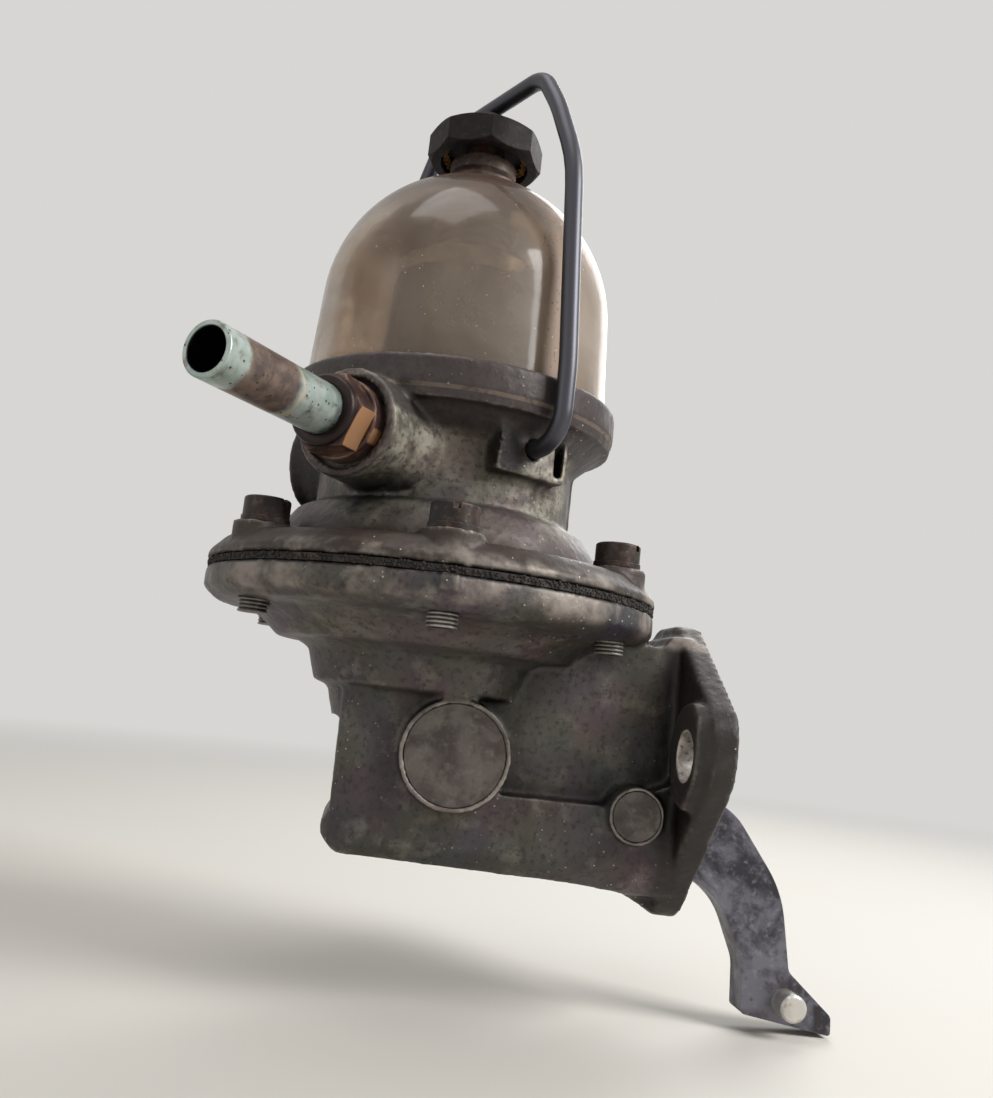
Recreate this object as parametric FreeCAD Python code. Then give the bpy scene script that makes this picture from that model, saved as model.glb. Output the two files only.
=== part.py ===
"""Lever-driven diaphragm fuel pump with a glass sediment bowl held by a wire bail.

Millimetres, +Z up along the pump's axis. The model is drawn about the point where that
axis meets the diaphragm seam, and is moved at the end so that the origin is midway
between the two mounting bolts, on the mounting face, with +X out of that face.
Directions round the axis are in degrees from -Y, turning towards +X.
"""
import FreeCAD
import Part
import math
import os

V = FreeCAD.Vector
UP = V(0, 0, 1)
SIDE = V(0, 1, 0)
OUT = V(1, 0, 0)

# Fits
press = 0.0
running = 0.05
clearance = 0.3

# Diaphragm joint
flange_r = 44.5
seam_t = 1.2
upper_flange_t = 4.8
lower_flange_t = 6.0
screw_count = 6
screw_circle_r = 38.0
screw_r = 2.5
screw_head_r = 4.25
screw_head_h = 3.6
screw_slot_w = 1.1
screw_slot_depth = 1.3
screw_tail = 2.6
screw_boss_r = 5.7
screw_boss_h = 6.4
washer_t = 1.1

# Upper body
barrel_r = 25.6
skirt_top_z = 14.7
ring_band_h = 5.9
ring_lip_h = 2.1
ring_top_z = 39.5
ring_wall = 2.0
seat_depth = 3.5
well_r = 12.8
well_depth = 4.5
chamber_r = 29.5
chamber_roof_z = 9.0

# Ports
inlet_deg = -32.5
inlet_z = 24.75
inlet_boss_r = 10.0
inlet_boss_end = 38.4
outlet_deg = -114.0
outlet_z = 25.5
outlet_boss_r = 9.8
outlet_boss_end = 31.6
port_thread_r = 5.9
port_thread_depth = 10.5
port_mouth_r = 8.1
gallery_r = 3.0

# Union and pipe
union_flats = 12.6
union_turn = 33.5
union_recess_depth = 2.0
union_rim_r = 7.3
union_rim_l = 3.5
union_hex_l = 8.0
union_collar_r = 6.3
union_collar_l = 1.2
union_shank_l = 8.0
pipe_r = 4.1
pipe_stub_r = 4.45
pipe_bore_r = 3.45
pipe_stub_l = 28.5
ferrule_l = 2.4

# Bail and its lugs
bail_deg = 30.0
bail_wire_r = 1.75
bail_pivot_z = 26.4
bail_end_r = 21.0
bail_bend_r = 6.5
bail_gap = 0.55
bail_clear = 0.4
bail_shoulder_in = 11.4
bail_knee_in = 4.4
lug_w = 16.5
lug_h = 10.0
lug_face_r = 28.4

# Bowl
gasket_t = 1.5
gasket_inner_r = 23.0
bowl_foot_r = 31.0
bowl_wall = 3.1
bowl_top_z = 86.8
bowl_flat_r = 8.6

# Clamp
cup_foot_r = 8.3
cup_neck_r = 7.1
cup_h = 5.9
stem_r = 4.0
stem_l = 3.8
nut_corner_r = 12.3
nut_sides = 8
nut_h = 6.3
nut_crown_h = 4.6
nut_crown_r = 4.2
thread_gap = 0.1
nut_recess_h = 3.0
nut_recess_r = 9.4

# Strainer
screen_r = 14.5
screen_wall = 0.8
screen_h = 31.0
cap_r = 15.4
cap_t = 1.2
post_r = 3.0
post_head_r = 9.5
post_head_z = 77.5
post_head_t = 1.4

# Valves
valve_circle_r = 10.5
valve_axis_deg = outlet_deg
valve_r = 9.0
valve_h = 9.5
valve_seat_t = 2.0
valve_hole_r = 4.5
valve_disc_r = 6.4
valve_disc_t = 1.0
valve_wall = 1.3
valve_roof_t = 1.2
valve_wire_r = 0.3
valve_coil_r = 2.8
retainer_r = 19.3
retainer_t = 1.2

# Diaphragm group
plate_r = 24.0
plate_t = 1.5
rod_r = 3.0
rod_collar_r = 5.5
rod_collar_t = 1.5
rod_nut_flats = 9.0
rod_nut_h = 3.0
eye_w = 8.4
eye_t = 5.2
eye_slot_play = 0.4

# Lower body
cup_inner_r = 29.5
spring_well_r = 15.0
spring_well_z = -15.5
seal_r = 8.0
seal_h = 3.5
housing_half_w = 17.3
recess_depth = 4.3
housing_left_x = -15.3
chamber_half_w = 10.5
chamber_left_x = -9.5
chamber_top_z = -23.0
chamber_floor_z = -47.2
roof_z = -14.0
plug_x = 6.4
plug_z = -30.5
plug_boss_r = 10.25
plug_r = 9.2
plug_boss_y = 20.6
plug_t = 3.0

# Mounting flange
flange_face_x = 54.0
mount_t = 5.2
bolt_y = 26.5
bolt_z = -26.0
bolt_hole_r = 4.4
bolt_pad_r = 9.7
bolt_pad_h = 2.2

# Levers
pivot_x = 41.0
pivot_z = -38.0
pivot_r = 4.0
pin_boss_r = 5.3
pin_boss_y = 20.1
pin_plug_r = 4.5
pin_plug_t = 2.2
arm_t = 6.5
arm_hub_r = 8.5
link_gap = 0.2
link_t = 2.0
link_hub_r = 7.4
link_end_r = 4.0
link_pin_r = 2.5
link_pin_z = -35.5
tip_pin_x = 78.5
tip_pin_z = -72.2
tip_pin_r = 2.65
tip_pin_out = 5.2
tip_pin_back = 0.6

# Springs
coil_wire_r = 1.0
coil_r = 11.5
coil_turns = 4
coil_wire_sides = 6
arm_wire_r = 0.8
arm_coil_r = 4.4
arm_coil_turns = 6
arm_spring_x = 48.0
arm_seat_z = -29.4
spigot_r = 3.0
spigot_h = 2.6
filter_wire_r = 0.6

# Heights that follow from the sizes above
ring_r = bowl_foot_r + clearance + ring_wall
seam_top = seam_t / 2
seam_bottom = -seam_t / 2
seat_z = ring_top_z - seat_depth
gasket_top_z = seat_z + gasket_t
well_z = seat_z - well_depth
ring_bottom_z = ring_top_z - ring_band_h
lip_bottom_z = ring_bottom_z - ring_lip_h
seat_wall_r = ring_r - ring_wall
nut_z = bowl_top_z + cup_h + 0.2
bail_half = ring_r + bail_clear + bail_wire_r
bail_top_z = nut_z + nut_h + nut_crown_h + bail_gap + bail_wire_r
link_inner_y = arm_t / 2 + link_gap
link_outer_y = link_inner_y + link_t
screw_head_z = seam_top + screw_boss_h + washer_t
union_start = inlet_boss_end - union_recess_depth + 0.1
union_end = union_start + union_hex_l + union_collar_l
pipe_start = union_start - union_shank_l - ferrule_l


def outline(points, plane):
    """Closed flat face through points (a, b), (a, b, corner radius) or (a, b, "mid").

    A "mid" point is the middle of an arc between its two neighbours.
    """
    axes = {"xz": (OUT, UP), "yz": (SIDE, UP), "xy": (OUT, SIDE)}[plane]

    def to3(a, b):
        return axes[0] * a + axes[1] * b

    corners = [p for p in points if len(p) < 3 or p[2] != "mid"]
    mids = {}
    last = len(corners) - 1
    count = 0
    for p in points:
        if len(p) == 3 and p[2] == "mid":
            mids[(count - 1) % len(corners)] = to3(p[0], p[1])
        else:
            count += 1
    starts = []
    ends = []
    arcs = []
    for i, p in enumerate(corners):
        here = to3(p[0], p[1])
        radius = p[2] if len(p) == 3 else 0
        if radius == 0:
            starts.append(here)
            ends.append(here)
            arcs.append(None)
            continue
        before = corners[i - 1]
        after = corners[(i + 1) % len(corners)]
        to_before = (to3(before[0], before[1]) - here).normalize()
        to_after = (to3(after[0], after[1]) - here).normalize()
        half = to_before.getAngle(to_after) / 2
        reach = radius / math.tan(half)
        middle = (to_before + to_after).normalize()
        centre = here + middle * (radius / math.sin(half))
        ends.append(here + to_before * reach)
        starts.append(here + to_after * reach)
        arcs.append(centre - middle * radius)
    edges = []
    for i in range(last + 1):
        if arcs[i] is not None:
            edges.append(Part.Arc(ends[i], arcs[i], starts[i]).toShape())
        following = ends[(i + 1) % (last + 1)]
        if i in mids:
            edges.append(Part.Arc(starts[i], mids[i], following).toShape())
        elif starts[i].distanceToPoint(following) > 1e-6:
            edges.append(Part.makeLine(starts[i], following))
    return Part.Face(Part.Wire(Part.__sortEdges__(edges)))


def turned(points):
    """Solid of revolution about the pump's axis, from (radius, height) points."""
    return outline(points, "xz").revolve(V(0, 0, 0), UP, 360)


def plate_y(points, low, high):
    """Plate from an (x, z) outline, between two values of y."""
    face = outline(points, "xz")
    face.translate(V(0, low, 0))
    return face.extrude(V(0, high - low, 0))


def plate_x(points, low, high):
    """Plate from a (y, z) outline, between two values of x."""
    face = outline(points, "yz")
    face.translate(V(low, 0, 0))
    return face.extrude(V(high - low, 0, 0))


def plate_z(points, low, high):
    """Plate from an (x, y) outline, between two heights."""
    face = outline(points, "xy")
    face.translate(V(0, 0, low))
    return face.extrude(V(0, 0, high - low))


def disc(radius, low, high, x=0.0, y=0.0):
    """Upright cylinder between two heights."""
    return Part.makeCylinder(radius, high - low, V(x, y, low), UP)


def bar(radius, low, high, x, z):
    """Cylinder along Y between two values of y."""
    return Part.makeCylinder(radius, high - low, V(x, low, z), SIDE)


def block(x0, x1, y0, y1, z0, z1):
    """Box between two corners."""
    return Part.makeBox(x1 - x0, y1 - y0, z1 - z0, V(x0, y0, z0))


def polygon(sides, across_corners_r, low, high, turn=0.0):
    """Upright prism with equal sides."""
    step = 2 * math.pi / sides
    points = []
    for i in range(sides):
        angle = i * step + math.radians(turn)
        points.append((across_corners_r * math.cos(angle), across_corners_r * math.sin(angle)))
    return plate_z(points, low, high)


def ray(degrees):
    """Level unit vector in a direction round the axis."""
    angle = math.radians(degrees)
    return V(math.sin(angle), -math.cos(angle), 0)


def aimed(shape, degrees, height):
    """Turn a shape drawn up the Z axis so that it points outwards at a height."""
    moved = shape.copy()
    moved.Placement = FreeCAD.Placement(V(0, 0, height), FreeCAD.Rotation(UP, ray(degrees)))
    return moved


def round_axis(shape, degrees):
    """Copy of a shape turned about the pump's axis."""
    moved = shape.copy()
    moved.rotate(V(0, 0, 0), UP, degrees)
    return moved


def screw_places():
    """Directions of the flange screws."""
    return [i * 360.0 / screw_count for i in range(screw_count)]


def joined(shapes):
    """One solid from overlapping shapes."""
    result = shapes[0]
    for shape in shapes[1:]:
        result = result.fuse(shape)
    return result.removeSplitter()


def without(shape, cutters):
    """Shape with cutters taken away."""
    for cutter in cutters:
        shape = shape.cut(cutter)
    return shape


def coil(mean_r, wire_r, low, high, turns):
    """Helical spring between two heights; its wire has a few flats in place of a round section."""
    rise = high - low - 2 * wire_r
    path = Part.makeHelix(rise / turns, rise, mean_r)
    corners = []
    for i in range(coil_wire_sides + 1):
        angle = (i + 0.5) * 2 * math.pi / coil_wire_sides
        corners.append(V(mean_r + wire_r * math.cos(angle), 0, wire_r * math.sin(angle)))
    section = Part.Wire(Part.makePolygon(corners))
    spring = Part.Wire(path).makePipeShell([section], True, True)
    spring.translate(V(0, 0, low + wire_r))
    return spring


def save(node, shape):
    """Write one piece, moved from the drawing point to the mounting face."""
    solids = shape.Solids
    piece = solids[0] if len(solids) == 1 else Part.makeCompound(solids)
    piece = piece.copy()
    piece.translate(V(-flange_face_x, 0, -bolt_z))
    piece.exportStep("parts/%s.step" % node)
    print(node, len(solids), round(piece.Volume, 1), piece.isValid())


def flange_holes(radius, low, high):
    """Drill for the six flange screws."""
    cutters = []
    for degrees in screw_places():
        place = ray(degrees) * screw_circle_r
        cutters.append(disc(radius, low, high, place.x, place.y))
    return cutters


def upper_body():
    """Cast valve body, from the diaphragm flange up to the bowl seat."""
    top = seam_top + upper_flange_t
    body = turned([
        (0, seam_top), (flange_r + 0.2, seam_top, 0.5), (flange_r, seam_top + 1.7, 1.2), (41.6, top, 2.0),
        (36.5, top + 1.0, 2.5), (33.9, top + 0.2, 1.0), (31.6, 9.8, 1.2), (29.0, 13.4, 2.5),
        (barrel_r, skirt_top_z, 1.0), (barrel_r, 26.4, 1.5), (28.0, 28.6), (31.2, lip_bottom_z),
        (ring_r - 0.5, lip_bottom_z, 0.6), (ring_r - 0.5, ring_bottom_z), (ring_r, ring_bottom_z + 0.2),
        (ring_r, ring_top_z, 0.7), (seat_wall_r, ring_top_z), (seat_wall_r, seat_z), (well_r, seat_z),
        (well_r, well_z), (0, well_z)])
    ports = ((inlet_deg, inlet_z, inlet_boss_r, inlet_boss_end),
             (outlet_deg, outlet_z, outlet_boss_r, outlet_boss_end))
    bosses = []
    for degrees in screw_places():
        place = ray(degrees) * screw_circle_r
        bosses.append(disc(screw_boss_r, seam_top, seam_top + screw_boss_h, place.x, place.y))
    for degrees, height, radius, end in ports:
        boss = turned([(0, 14.0), (radius + 3.2, 14.0), (radius + 1.2, 24.5, 8.0), (radius, 28.5),
                       (radius, end, 0.8), (0, end)])
        bosses.append(aimed(boss, degrees, height))
    lug_low = bail_pivot_z - lug_h / 2 - 0.4
    lug = plate_x([(-lug_w / 2, lug_low, 1.0), (lug_w / 2, lug_low, 1.0), (lug_w / 2, lip_bottom_z + 0.5),
                   (-lug_w / 2, lip_bottom_z + 0.5)], 15.0, lug_face_r)
    relief = block(21.0, lug_face_r + 1, lug_w / 2 - 3.0, lug_w / 2 - 1.2, lug_low + 1.4, lip_bottom_z - 1.4)
    lug = lug.cut(relief)
    for degrees in (bail_deg, bail_deg + 180):
        bosses.append(round_axis(lug, degrees - 90))
    rib = block(barrel_r - 2.0, barrel_r + 0.7, -1.6, 1.6, skirt_top_z - 2.0, lip_bottom_z)
    bosses.append(rib)
    body = joined([body] + bosses)

    cutters = [turned([(0, seam_top - 1), (chamber_r, seam_top - 1), (chamber_r, seam_top), (28.4, 4.8, 2.0),
                       (22.5, chamber_roof_z, 2.0), (0, chamber_roof_z)])]
    cutters += flange_holes(screw_r + clearance, seam_top - 1, screw_head_z)
    for degrees in screw_places():
        place = ray(degrees) * screw_circle_r
        cutters.append(disc(screw_head_r + 0.8, seam_top + screw_boss_h, skirt_top_z, place.x, place.y))
    for degrees, height, radius, end in ports:
        floor = end - union_recess_depth if degrees == inlet_deg else end
        bore = turned([(0, end + 4), (0, 11.0), (gallery_r, 11.0), (gallery_r, floor - port_thread_depth),
                       (port_thread_r, floor - port_thread_depth), (port_thread_r, floor),
                       (port_mouth_r, floor), (port_mouth_r, end + 4)])
        cutters.append(aimed(bore, degrees, height))
    riser = ray(inlet_deg) * 18.4
    cutters.append(disc(gallery_r - 0.4, inlet_z, seat_z + 1, riser.x, riser.y))
    outlet_place, inlet_place = valve_places()
    for place in (outlet_place, inlet_place):
        cutters.append(disc(valve_r + press, chamber_roof_z - 1, chamber_roof_z + valve_h, place.x, place.y))
    cutters.append(disc(valve_r - 2.0, chamber_roof_z, 26.5, outlet_place.x, outlet_place.y))
    down = ray(valve_axis_deg + 180) * (well_r - 4.3)
    cutters.append(disc(4.0, chamber_roof_z, seat_z, down.x, down.y))
    hole = Part.makeCylinder(bail_wire_r + running, 12.0, V(0, 0, bail_end_r - 0.6), UP)
    for degrees in (bail_deg, bail_deg + 180):
        cutters.append(aimed(hole, degrees, bail_pivot_z))
    cutters.append(disc(post_r, well_z - 3.0, well_z + 1))
    cutters.append(disc(seat_wall_r, seat_z, ring_top_z + 5.0))
    cutters.append(disc(well_r, well_z, seat_z + 1))
    for place in retainer_places():
        cutters.append(disc(2.0, chamber_roof_z - 1, chamber_roof_z + 7.0, place.x, place.y))
    return without(body, cutters)


def valve_places():
    """Centres of the outlet valve and the inlet valve."""
    return ray(valve_axis_deg) * valve_circle_r, ray(valve_axis_deg + 180) * valve_circle_r


def retainer_places():
    """Centres of the two screws that hold the valve retainer."""
    return ray(valve_axis_deg + 90) * 13.5, ray(valve_axis_deg - 90) * 13.5


def valve(opens_up):
    """Seat, cage, disc and spring of one valve, drawn in a pocket that starts at height 0."""
    seat = disc(valve_r, 0, valve_seat_t).cut(disc(valve_hole_r, -1, valve_seat_t + 1))
    disc_low = valve_seat_t + running
    plate = disc(valve_disc_r, disc_low, disc_low + valve_disc_t)
    plate = plate.fuse(disc(valve_coil_r - 0.7, disc_low, disc_low + valve_disc_t + 0.8))
    cage = disc(valve_r, valve_seat_t, valve_h)
    cage = cage.cut(disc(valve_r - valve_wall, valve_seat_t - 1, valve_h - valve_roof_t))
    windows = [disc(1.6, 0, valve_h + 1)]
    for i in range(4):
        place = ray(45 + 90 * i) * 5.2
        windows.append(disc(1.7, 0, valve_h + 1, place.x, place.y))
    cage = without(cage, windows)
    spring = coil(valve_coil_r, valve_wire_r, disc_low + valve_disc_t, valve_h - valve_roof_t, 3)
    pieces = [seat, cage, plate, spring]
    if opens_up:
        place = valve_places()[0]
    else:
        place = valve_places()[1]
        for piece in pieces:
            piece.rotate(V(0, 0, valve_h / 2), OUT, 180)
    for piece in pieces:
        piece.translate(V(place.x, place.y, chamber_roof_z))
    return pieces


def valve_retainer():
    """Plate under both valves, open under each of them."""
    low = chamber_roof_z - retainer_t
    plate = disc(retainer_r, low, chamber_roof_z)
    cutters = []
    for place in valve_places():
        cutters.append(disc(valve_r - 2.2, low - 1, chamber_roof_z + 1, place.x, place.y))
    for place in retainer_places():
        cutters.append(disc(2.0, low - 1, chamber_roof_z + 1, place.x, place.y))
    return without(plate, cutters)


def retainer_screws():
    """Two small screws that hold the valve retainer."""
    low = chamber_roof_z - retainer_t
    screws = []
    for place in retainer_places():
        shank = disc(2.0, low, chamber_roof_z + 6.5, place.x, place.y)
        head = disc(3.2, low - 1.6, low, place.x, place.y)
        slot = block(place.x - 4, place.x + 4, place.y - 0.4, place.y + 0.4, low - 2, low - 1.0)
        screws.append(shank.fuse(head).cut(slot))
    return Part.makeCompound(screws)


def housing():
    """Outside of the lever housing: a side outline, cut to a plan and a rounded section."""
    side = plate_y([
        (housing_left_x, -19.0), (housing_left_x + 0.4, -43.0, 3.0), (-16.2, -45.2, 1.0),
        (-16.0, -47.8, 1.5),
        (-13.2, -50.2, 2.0), (-6.0, -50.4, 20.0), (32.0, -51.9, 20.0), (41.0, -53.0, 6.0),
        (49.0, -57.0), (51.0, -57.0), (51.0, -3.6), (47.0, -3.6, 1.0), (45.4, -6.0, 1.5), (40.0, -6.2, 2.0),
        (20.0, -8.6), (8.0, -19.0)], -40, 40)
    plan = plate_z([
        (-17.0, -housing_half_w, 12.0), (51.0, -housing_half_w), (51.0, housing_half_w),
        (-17.0, housing_half_w, 12.0)], -60, 0)
    half = housing_half_w
    section = plate_x([
        (-half, -21.5, 3.0), (-13.0, -19.5, 3.0), (-12.6, -3.0), (12.6, -3.0), (13.0, -19.5, 3.0),
        (half, -21.5, 3.0), (half + 0.4, -47.5, 5.0), (half - 4.4, -53.0, 5.0), (7.0, -54.0, 2.0),
        (6.6, -58.0), (-6.6, -58.0), (-7.0, -54.0, 2.0), (-half + 4.4, -53.0, 5.0),
        (-half - 0.4, -47.5, 5.0)], -20, 55)
    return side.common(plan).common(section)


def mount_outline(grow=0.0):
    """Outline (y, z) of the mounting flange, a rounded rhombus."""
    half = [(7.0, -0.8 + grow, 7.0), (34.2 + grow, -19.0, 6.0), (34.2 + grow, -29.6, 8.0),
            (7.6, -57.8 - grow, 10.0)]
    return half + [(-y, z, r) for y, z, r in reversed(half)]


def lower_body():
    """Cast lower body: diaphragm flange, cup, neck, lever housing and mounting flange."""
    low = seam_bottom - lower_flange_t
    bowl = turned([
        (0, seam_bottom), (flange_r, seam_bottom, 0.5), (flange_r + 0.1, seam_bottom - 3.9, 1.6),
        (41.8, low, 1.0), (36.4, low - 0.4, 3.0), (32.6, -9.2, 1.5), (29.6, -12.0, 1.0), (25.5, -12.3, 0.8),
        (23.2, -13.6, 0.6), (21.4, -19.6, 0.8), (18.6, -20.4), (17.0, -26.0), (0, -26.0)])
    back_x = flange_face_x - mount_t
    flange = plate_x(mount_outline(), back_x, flange_face_x)
    back_edges = [e for e in flange.Edges if e.BoundBox.XMax < back_x + 0.01]
    flange = flange.makeFillet(1.4, back_edges)
    pads = []
    for y in (-bolt_y, bolt_y):
        pad = Part.makeCylinder(bolt_pad_r, bolt_pad_h + 2, V(back_x - bolt_pad_h, y, bolt_z), OUT)
        pad = pad.common(plate_x(mount_outline(-1.2), back_x - 10, flange_face_x))
        rim = [e for e in pad.Edges if e.BoundBox.XMax < back_x - bolt_pad_h + 0.01]
        pads.append(pad.makeFillet(1.0, rim))
    big_boss = bar(plug_boss_r, -plug_boss_y, 0, plug_x, plug_z)
    pin_bosses = bar(pin_boss_r, -pin_boss_y, pin_boss_y, pivot_x, pivot_z)
    nub = block(-1.6, 1.6, -flange_r - 1.0, -flange_r + 3.0, seam_bottom - 3.0, seam_bottom)
    shell = joined([bowl, housing(), flange, big_boss, pin_bosses, nub] + pads)

    recess = [(10.0, -14.0), (back_x, -14.0), (back_x, -31.5, 3.0), (36.0, -36.8, 1.0), (10.0, -36.8)]
    sunk = housing_half_w - recess_depth
    cutters = [plate_y(recess, -housing_half_w - 3, -sunk), plate_y(recess, sunk, housing_half_w + 3)]
    neck_guard = turned([(0, 0), (26, 0), (26, -12.3), (23.4, -13.6), (21.4, -20.0), (0, -20.0)])
    kept = [pin_bosses, big_boss, neck_guard] + pads
    cutters = [without(c, kept) for c in cutters]
    cutters.append(turned([
        (0, 1), (cup_inner_r, 1), (cup_inner_r, seam_bottom), (28.4, -7.0, 2.5), (17.5, -9.6, 2.0),
        (spring_well_r, -11.0), (spring_well_r, spring_well_z), (seal_r, spring_well_z),
        (seal_r, spring_well_z - seal_h), (rod_r + 0.5, spring_well_z - seal_h), (rod_r + 0.5, -30.0),
        (0, -30.0)]))
    inside = plate_y([
        (chamber_left_x, chamber_top_z, 2.0), (33.0, chamber_top_z, 2.0), (38.0, roof_z, 2.0),
        (60.0, roof_z), (60.0, -53.4), (54.5, -52.4), (46.0, -50.2, 4.0), (36.0, chamber_floor_z, 6.0),
        (chamber_left_x, chamber_floor_z, 3.0)], -chamber_half_w, chamber_half_w)
    cutters.append(inside)
    cutters.append(bar(pivot_r + press, -housing_half_w - 3, housing_half_w + 3, pivot_x, pivot_z))
    plug_floor = pin_boss_y - 0.4 - pin_plug_t
    cutters.append(bar(pin_plug_r, -pin_boss_y - 1, -plug_floor, pivot_x, pivot_z))
    cutters.append(bar(pin_plug_r, plug_floor, pin_boss_y + 1, pivot_x, pivot_z))
    cutters.append(bar(plug_r, -plug_boss_y - 1, -plug_boss_y + 0.4 + plug_t, plug_x, plug_z))
    cutters.append(bar(plug_r - 2.0, -plug_boss_y, -chamber_half_w + 1, plug_x, plug_z))
    for y in (-bolt_y, bolt_y):
        cutters.append(Part.makeCylinder(bolt_hole_r, 40, V(flange_face_x - 25, y, bolt_z), OUT))
    cutters += flange_holes(screw_r + press, low - 4, 1)
    shell = without(shell, cutters)
    spigot = disc(spigot_r, roof_z - spigot_h, roof_z + 1.5, arm_spring_x, 0)
    return joined([shell, spigot])


def diaphragm():
    """Membrane, clamped at the rim and between the plates, with one soft roll."""
    half = seam_t / 2
    sheet = turned([
        (rod_r, -half), (25.2, -half), (27.2, half + 0.3, "mid"), (29.3, -half), (flange_r - 0.4, -half),
        (flange_r - 0.4, half), (29.0, half), (27.2, half + 1.5, "mid"), (25.4, half), (rod_r, half)])
    return without(sheet, flange_holes(screw_r + clearance, -3, 3))


def diaphragm_plate(upper):
    """Dished plate on one side of the membrane."""
    half = seam_t / 2
    lip = 0.9
    plate = turned([
        (rod_r + press, half), (plate_r - 0.6, half, 0.4), (plate_r + 0.2, half + lip, 0.3),
        (plate_r - 0.4, half + plate_t + lip, 0.3), (plate_r - 2.2, half + plate_t, 0.5),
        (rod_r + press, half + plate_t)])
    if not upper:
        plate.rotate(V(0, 0, 0), OUT, 180)
    return plate


def pull_rod():
    """Rod from the diaphragm down to a flat eye with a slot for the link pin."""
    plate_low = -seam_t / 2 - plate_t
    top = seam_t / 2 + plate_t + rod_nut_h + 1.0
    rod = disc(rod_r, link_pin_z, top)
    collar = disc(rod_collar_r, plate_low - rod_collar_t, plate_low)
    low = link_pin_z - 4.2
    high = link_pin_z + 4.6
    top_of_eye = link_pin_z + 7.2
    eye = plate_y([
        (-eye_w / 2, low, 2.0), (eye_w / 2, low, 2.0), (eye_w / 2, high, 2.0), (2.6, top_of_eye),
        (-2.6, top_of_eye), (-eye_w / 2, high, 2.0)], -eye_t / 2, eye_t / 2)
    hole_r = link_pin_r + running
    slot = [bar(hole_r, -10, 10, x, link_pin_z) for x in (-eye_slot_play, eye_slot_play)]
    slot.append(block(-eye_slot_play, eye_slot_play, -10, 10, link_pin_z - hole_r, link_pin_z + hole_r))
    flats = [block(-10, 10, eye_t / 2, 10, link_pin_z - 6, top_of_eye)]
    flats.append(block(-10, 10, -10, -eye_t / 2, link_pin_z - 6, top_of_eye))
    return without(joined([rod, collar, eye]), slot + flats)


def rod_nut():
    """Six-sided nut on top of the upper plate."""
    low = seam_t / 2 + plate_t
    corner = rod_nut_flats / 2 / math.cos(math.pi / 6)
    return polygon(6, corner, low, low + rod_nut_h).cut(disc(rod_r, low - 1, low + rod_nut_h + 1))


def tapered_link(x0, z0, r0, x1, z1, r1, low, high):
    """Plate between two y values whose outline wraps two circles."""
    span = math.hypot(x1 - x0, z1 - z0)
    base = math.atan2(z1 - z0, x1 - x0)
    tilt = math.acos((r0 - r1) / span)
    points = []
    for side in (1, -1):
        angle = base + side * tilt
        near = (x0 + r0 * math.cos(angle), z0 + r0 * math.sin(angle))
        far = (x1 + r1 * math.cos(angle), z1 + r1 * math.sin(angle))
        points.append((near, far))
    far_mid = (x1 + r1 * math.cos(base), z1 + r1 * math.sin(base), "mid")
    near_mid = (x0 - r0 * math.cos(base), z0 - r0 * math.sin(base), "mid")
    loop = [points[0][0], points[0][1], far_mid, points[1][1], points[1][0], near_mid]
    return plate_y(loop, low, high)


def link_lever():
    """Forked link: two cheeks astride the arm and the rod's eye, with a web between them."""
    cheeks = []
    for low, high in ((-link_outer_y, -link_inner_y), (link_inner_y, link_outer_y)):
        cheeks.append(tapered_link(pivot_x, pivot_z, link_hub_r, 0, link_pin_z, link_end_r, low, high))
    web = plate_y([(9.0, -39.9), (25.0, -41.4), (25.0, -43.2), (9.0, -41.2)], -link_outer_y, link_outer_y)
    body = joined(cheeks + [web])
    bores = [bar(pivot_r + running, -20, 20, pivot_x, pivot_z), bar(link_pin_r, -20, 20, 0, link_pin_z)]
    return without(body, bores)


def rocker_arm():
    """Arm from the link's web, round the pivot, and out and down to the cam pad."""
    blade = plate_y([
        (11.0, -34.6, 2.0), (30.0, -29.8, 6.0), (arm_spring_x - 6.5, arm_seat_z, 2.0),
        (53.6, arm_seat_z, 5.0), (66.4, -37.6, 12.0), (76.6, -51.2, 22.0), (79.1, -66.4, 2.0),
        (88.4, -74.3, 1.5), (88.5, -78.0, 0.6), (69.8, -75.0, 1.0), (69.4, -66.0, 8.0),
        (64.2, -54.0, 14.0), (56.5, -49.8, 6.0), (41.0, -46.6, 4.0),
        (34.0, -44.6, 3.0), (27.0, -41.2, 2.0), (11.0, -39.6, 1.5)], -arm_t / 2, arm_t / 2)
    hub = bar(arm_hub_r, -arm_t / 2, arm_t / 2, pivot_x, pivot_z)
    spigot = disc(spigot_r, arm_seat_z - 2, arm_seat_z + spigot_h, arm_spring_x, 0)
    body = joined([blade, hub, spigot])
    bores = [bar(pivot_r + running, -10, 10, pivot_x, pivot_z)]
    bores.append(bar(tip_pin_r, -10, 10, tip_pin_x, tip_pin_z))
    return without(body, bores)


def pin(radius, low, high, x, z, bevel=0.4):
    """Pin along Y with bevelled ends."""
    body = bar(radius, low, high, x, z)
    rims = [e for e in body.Edges if len(e.Vertexes) == 1]
    return body.makeChamfer(bevel, rims)


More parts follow.
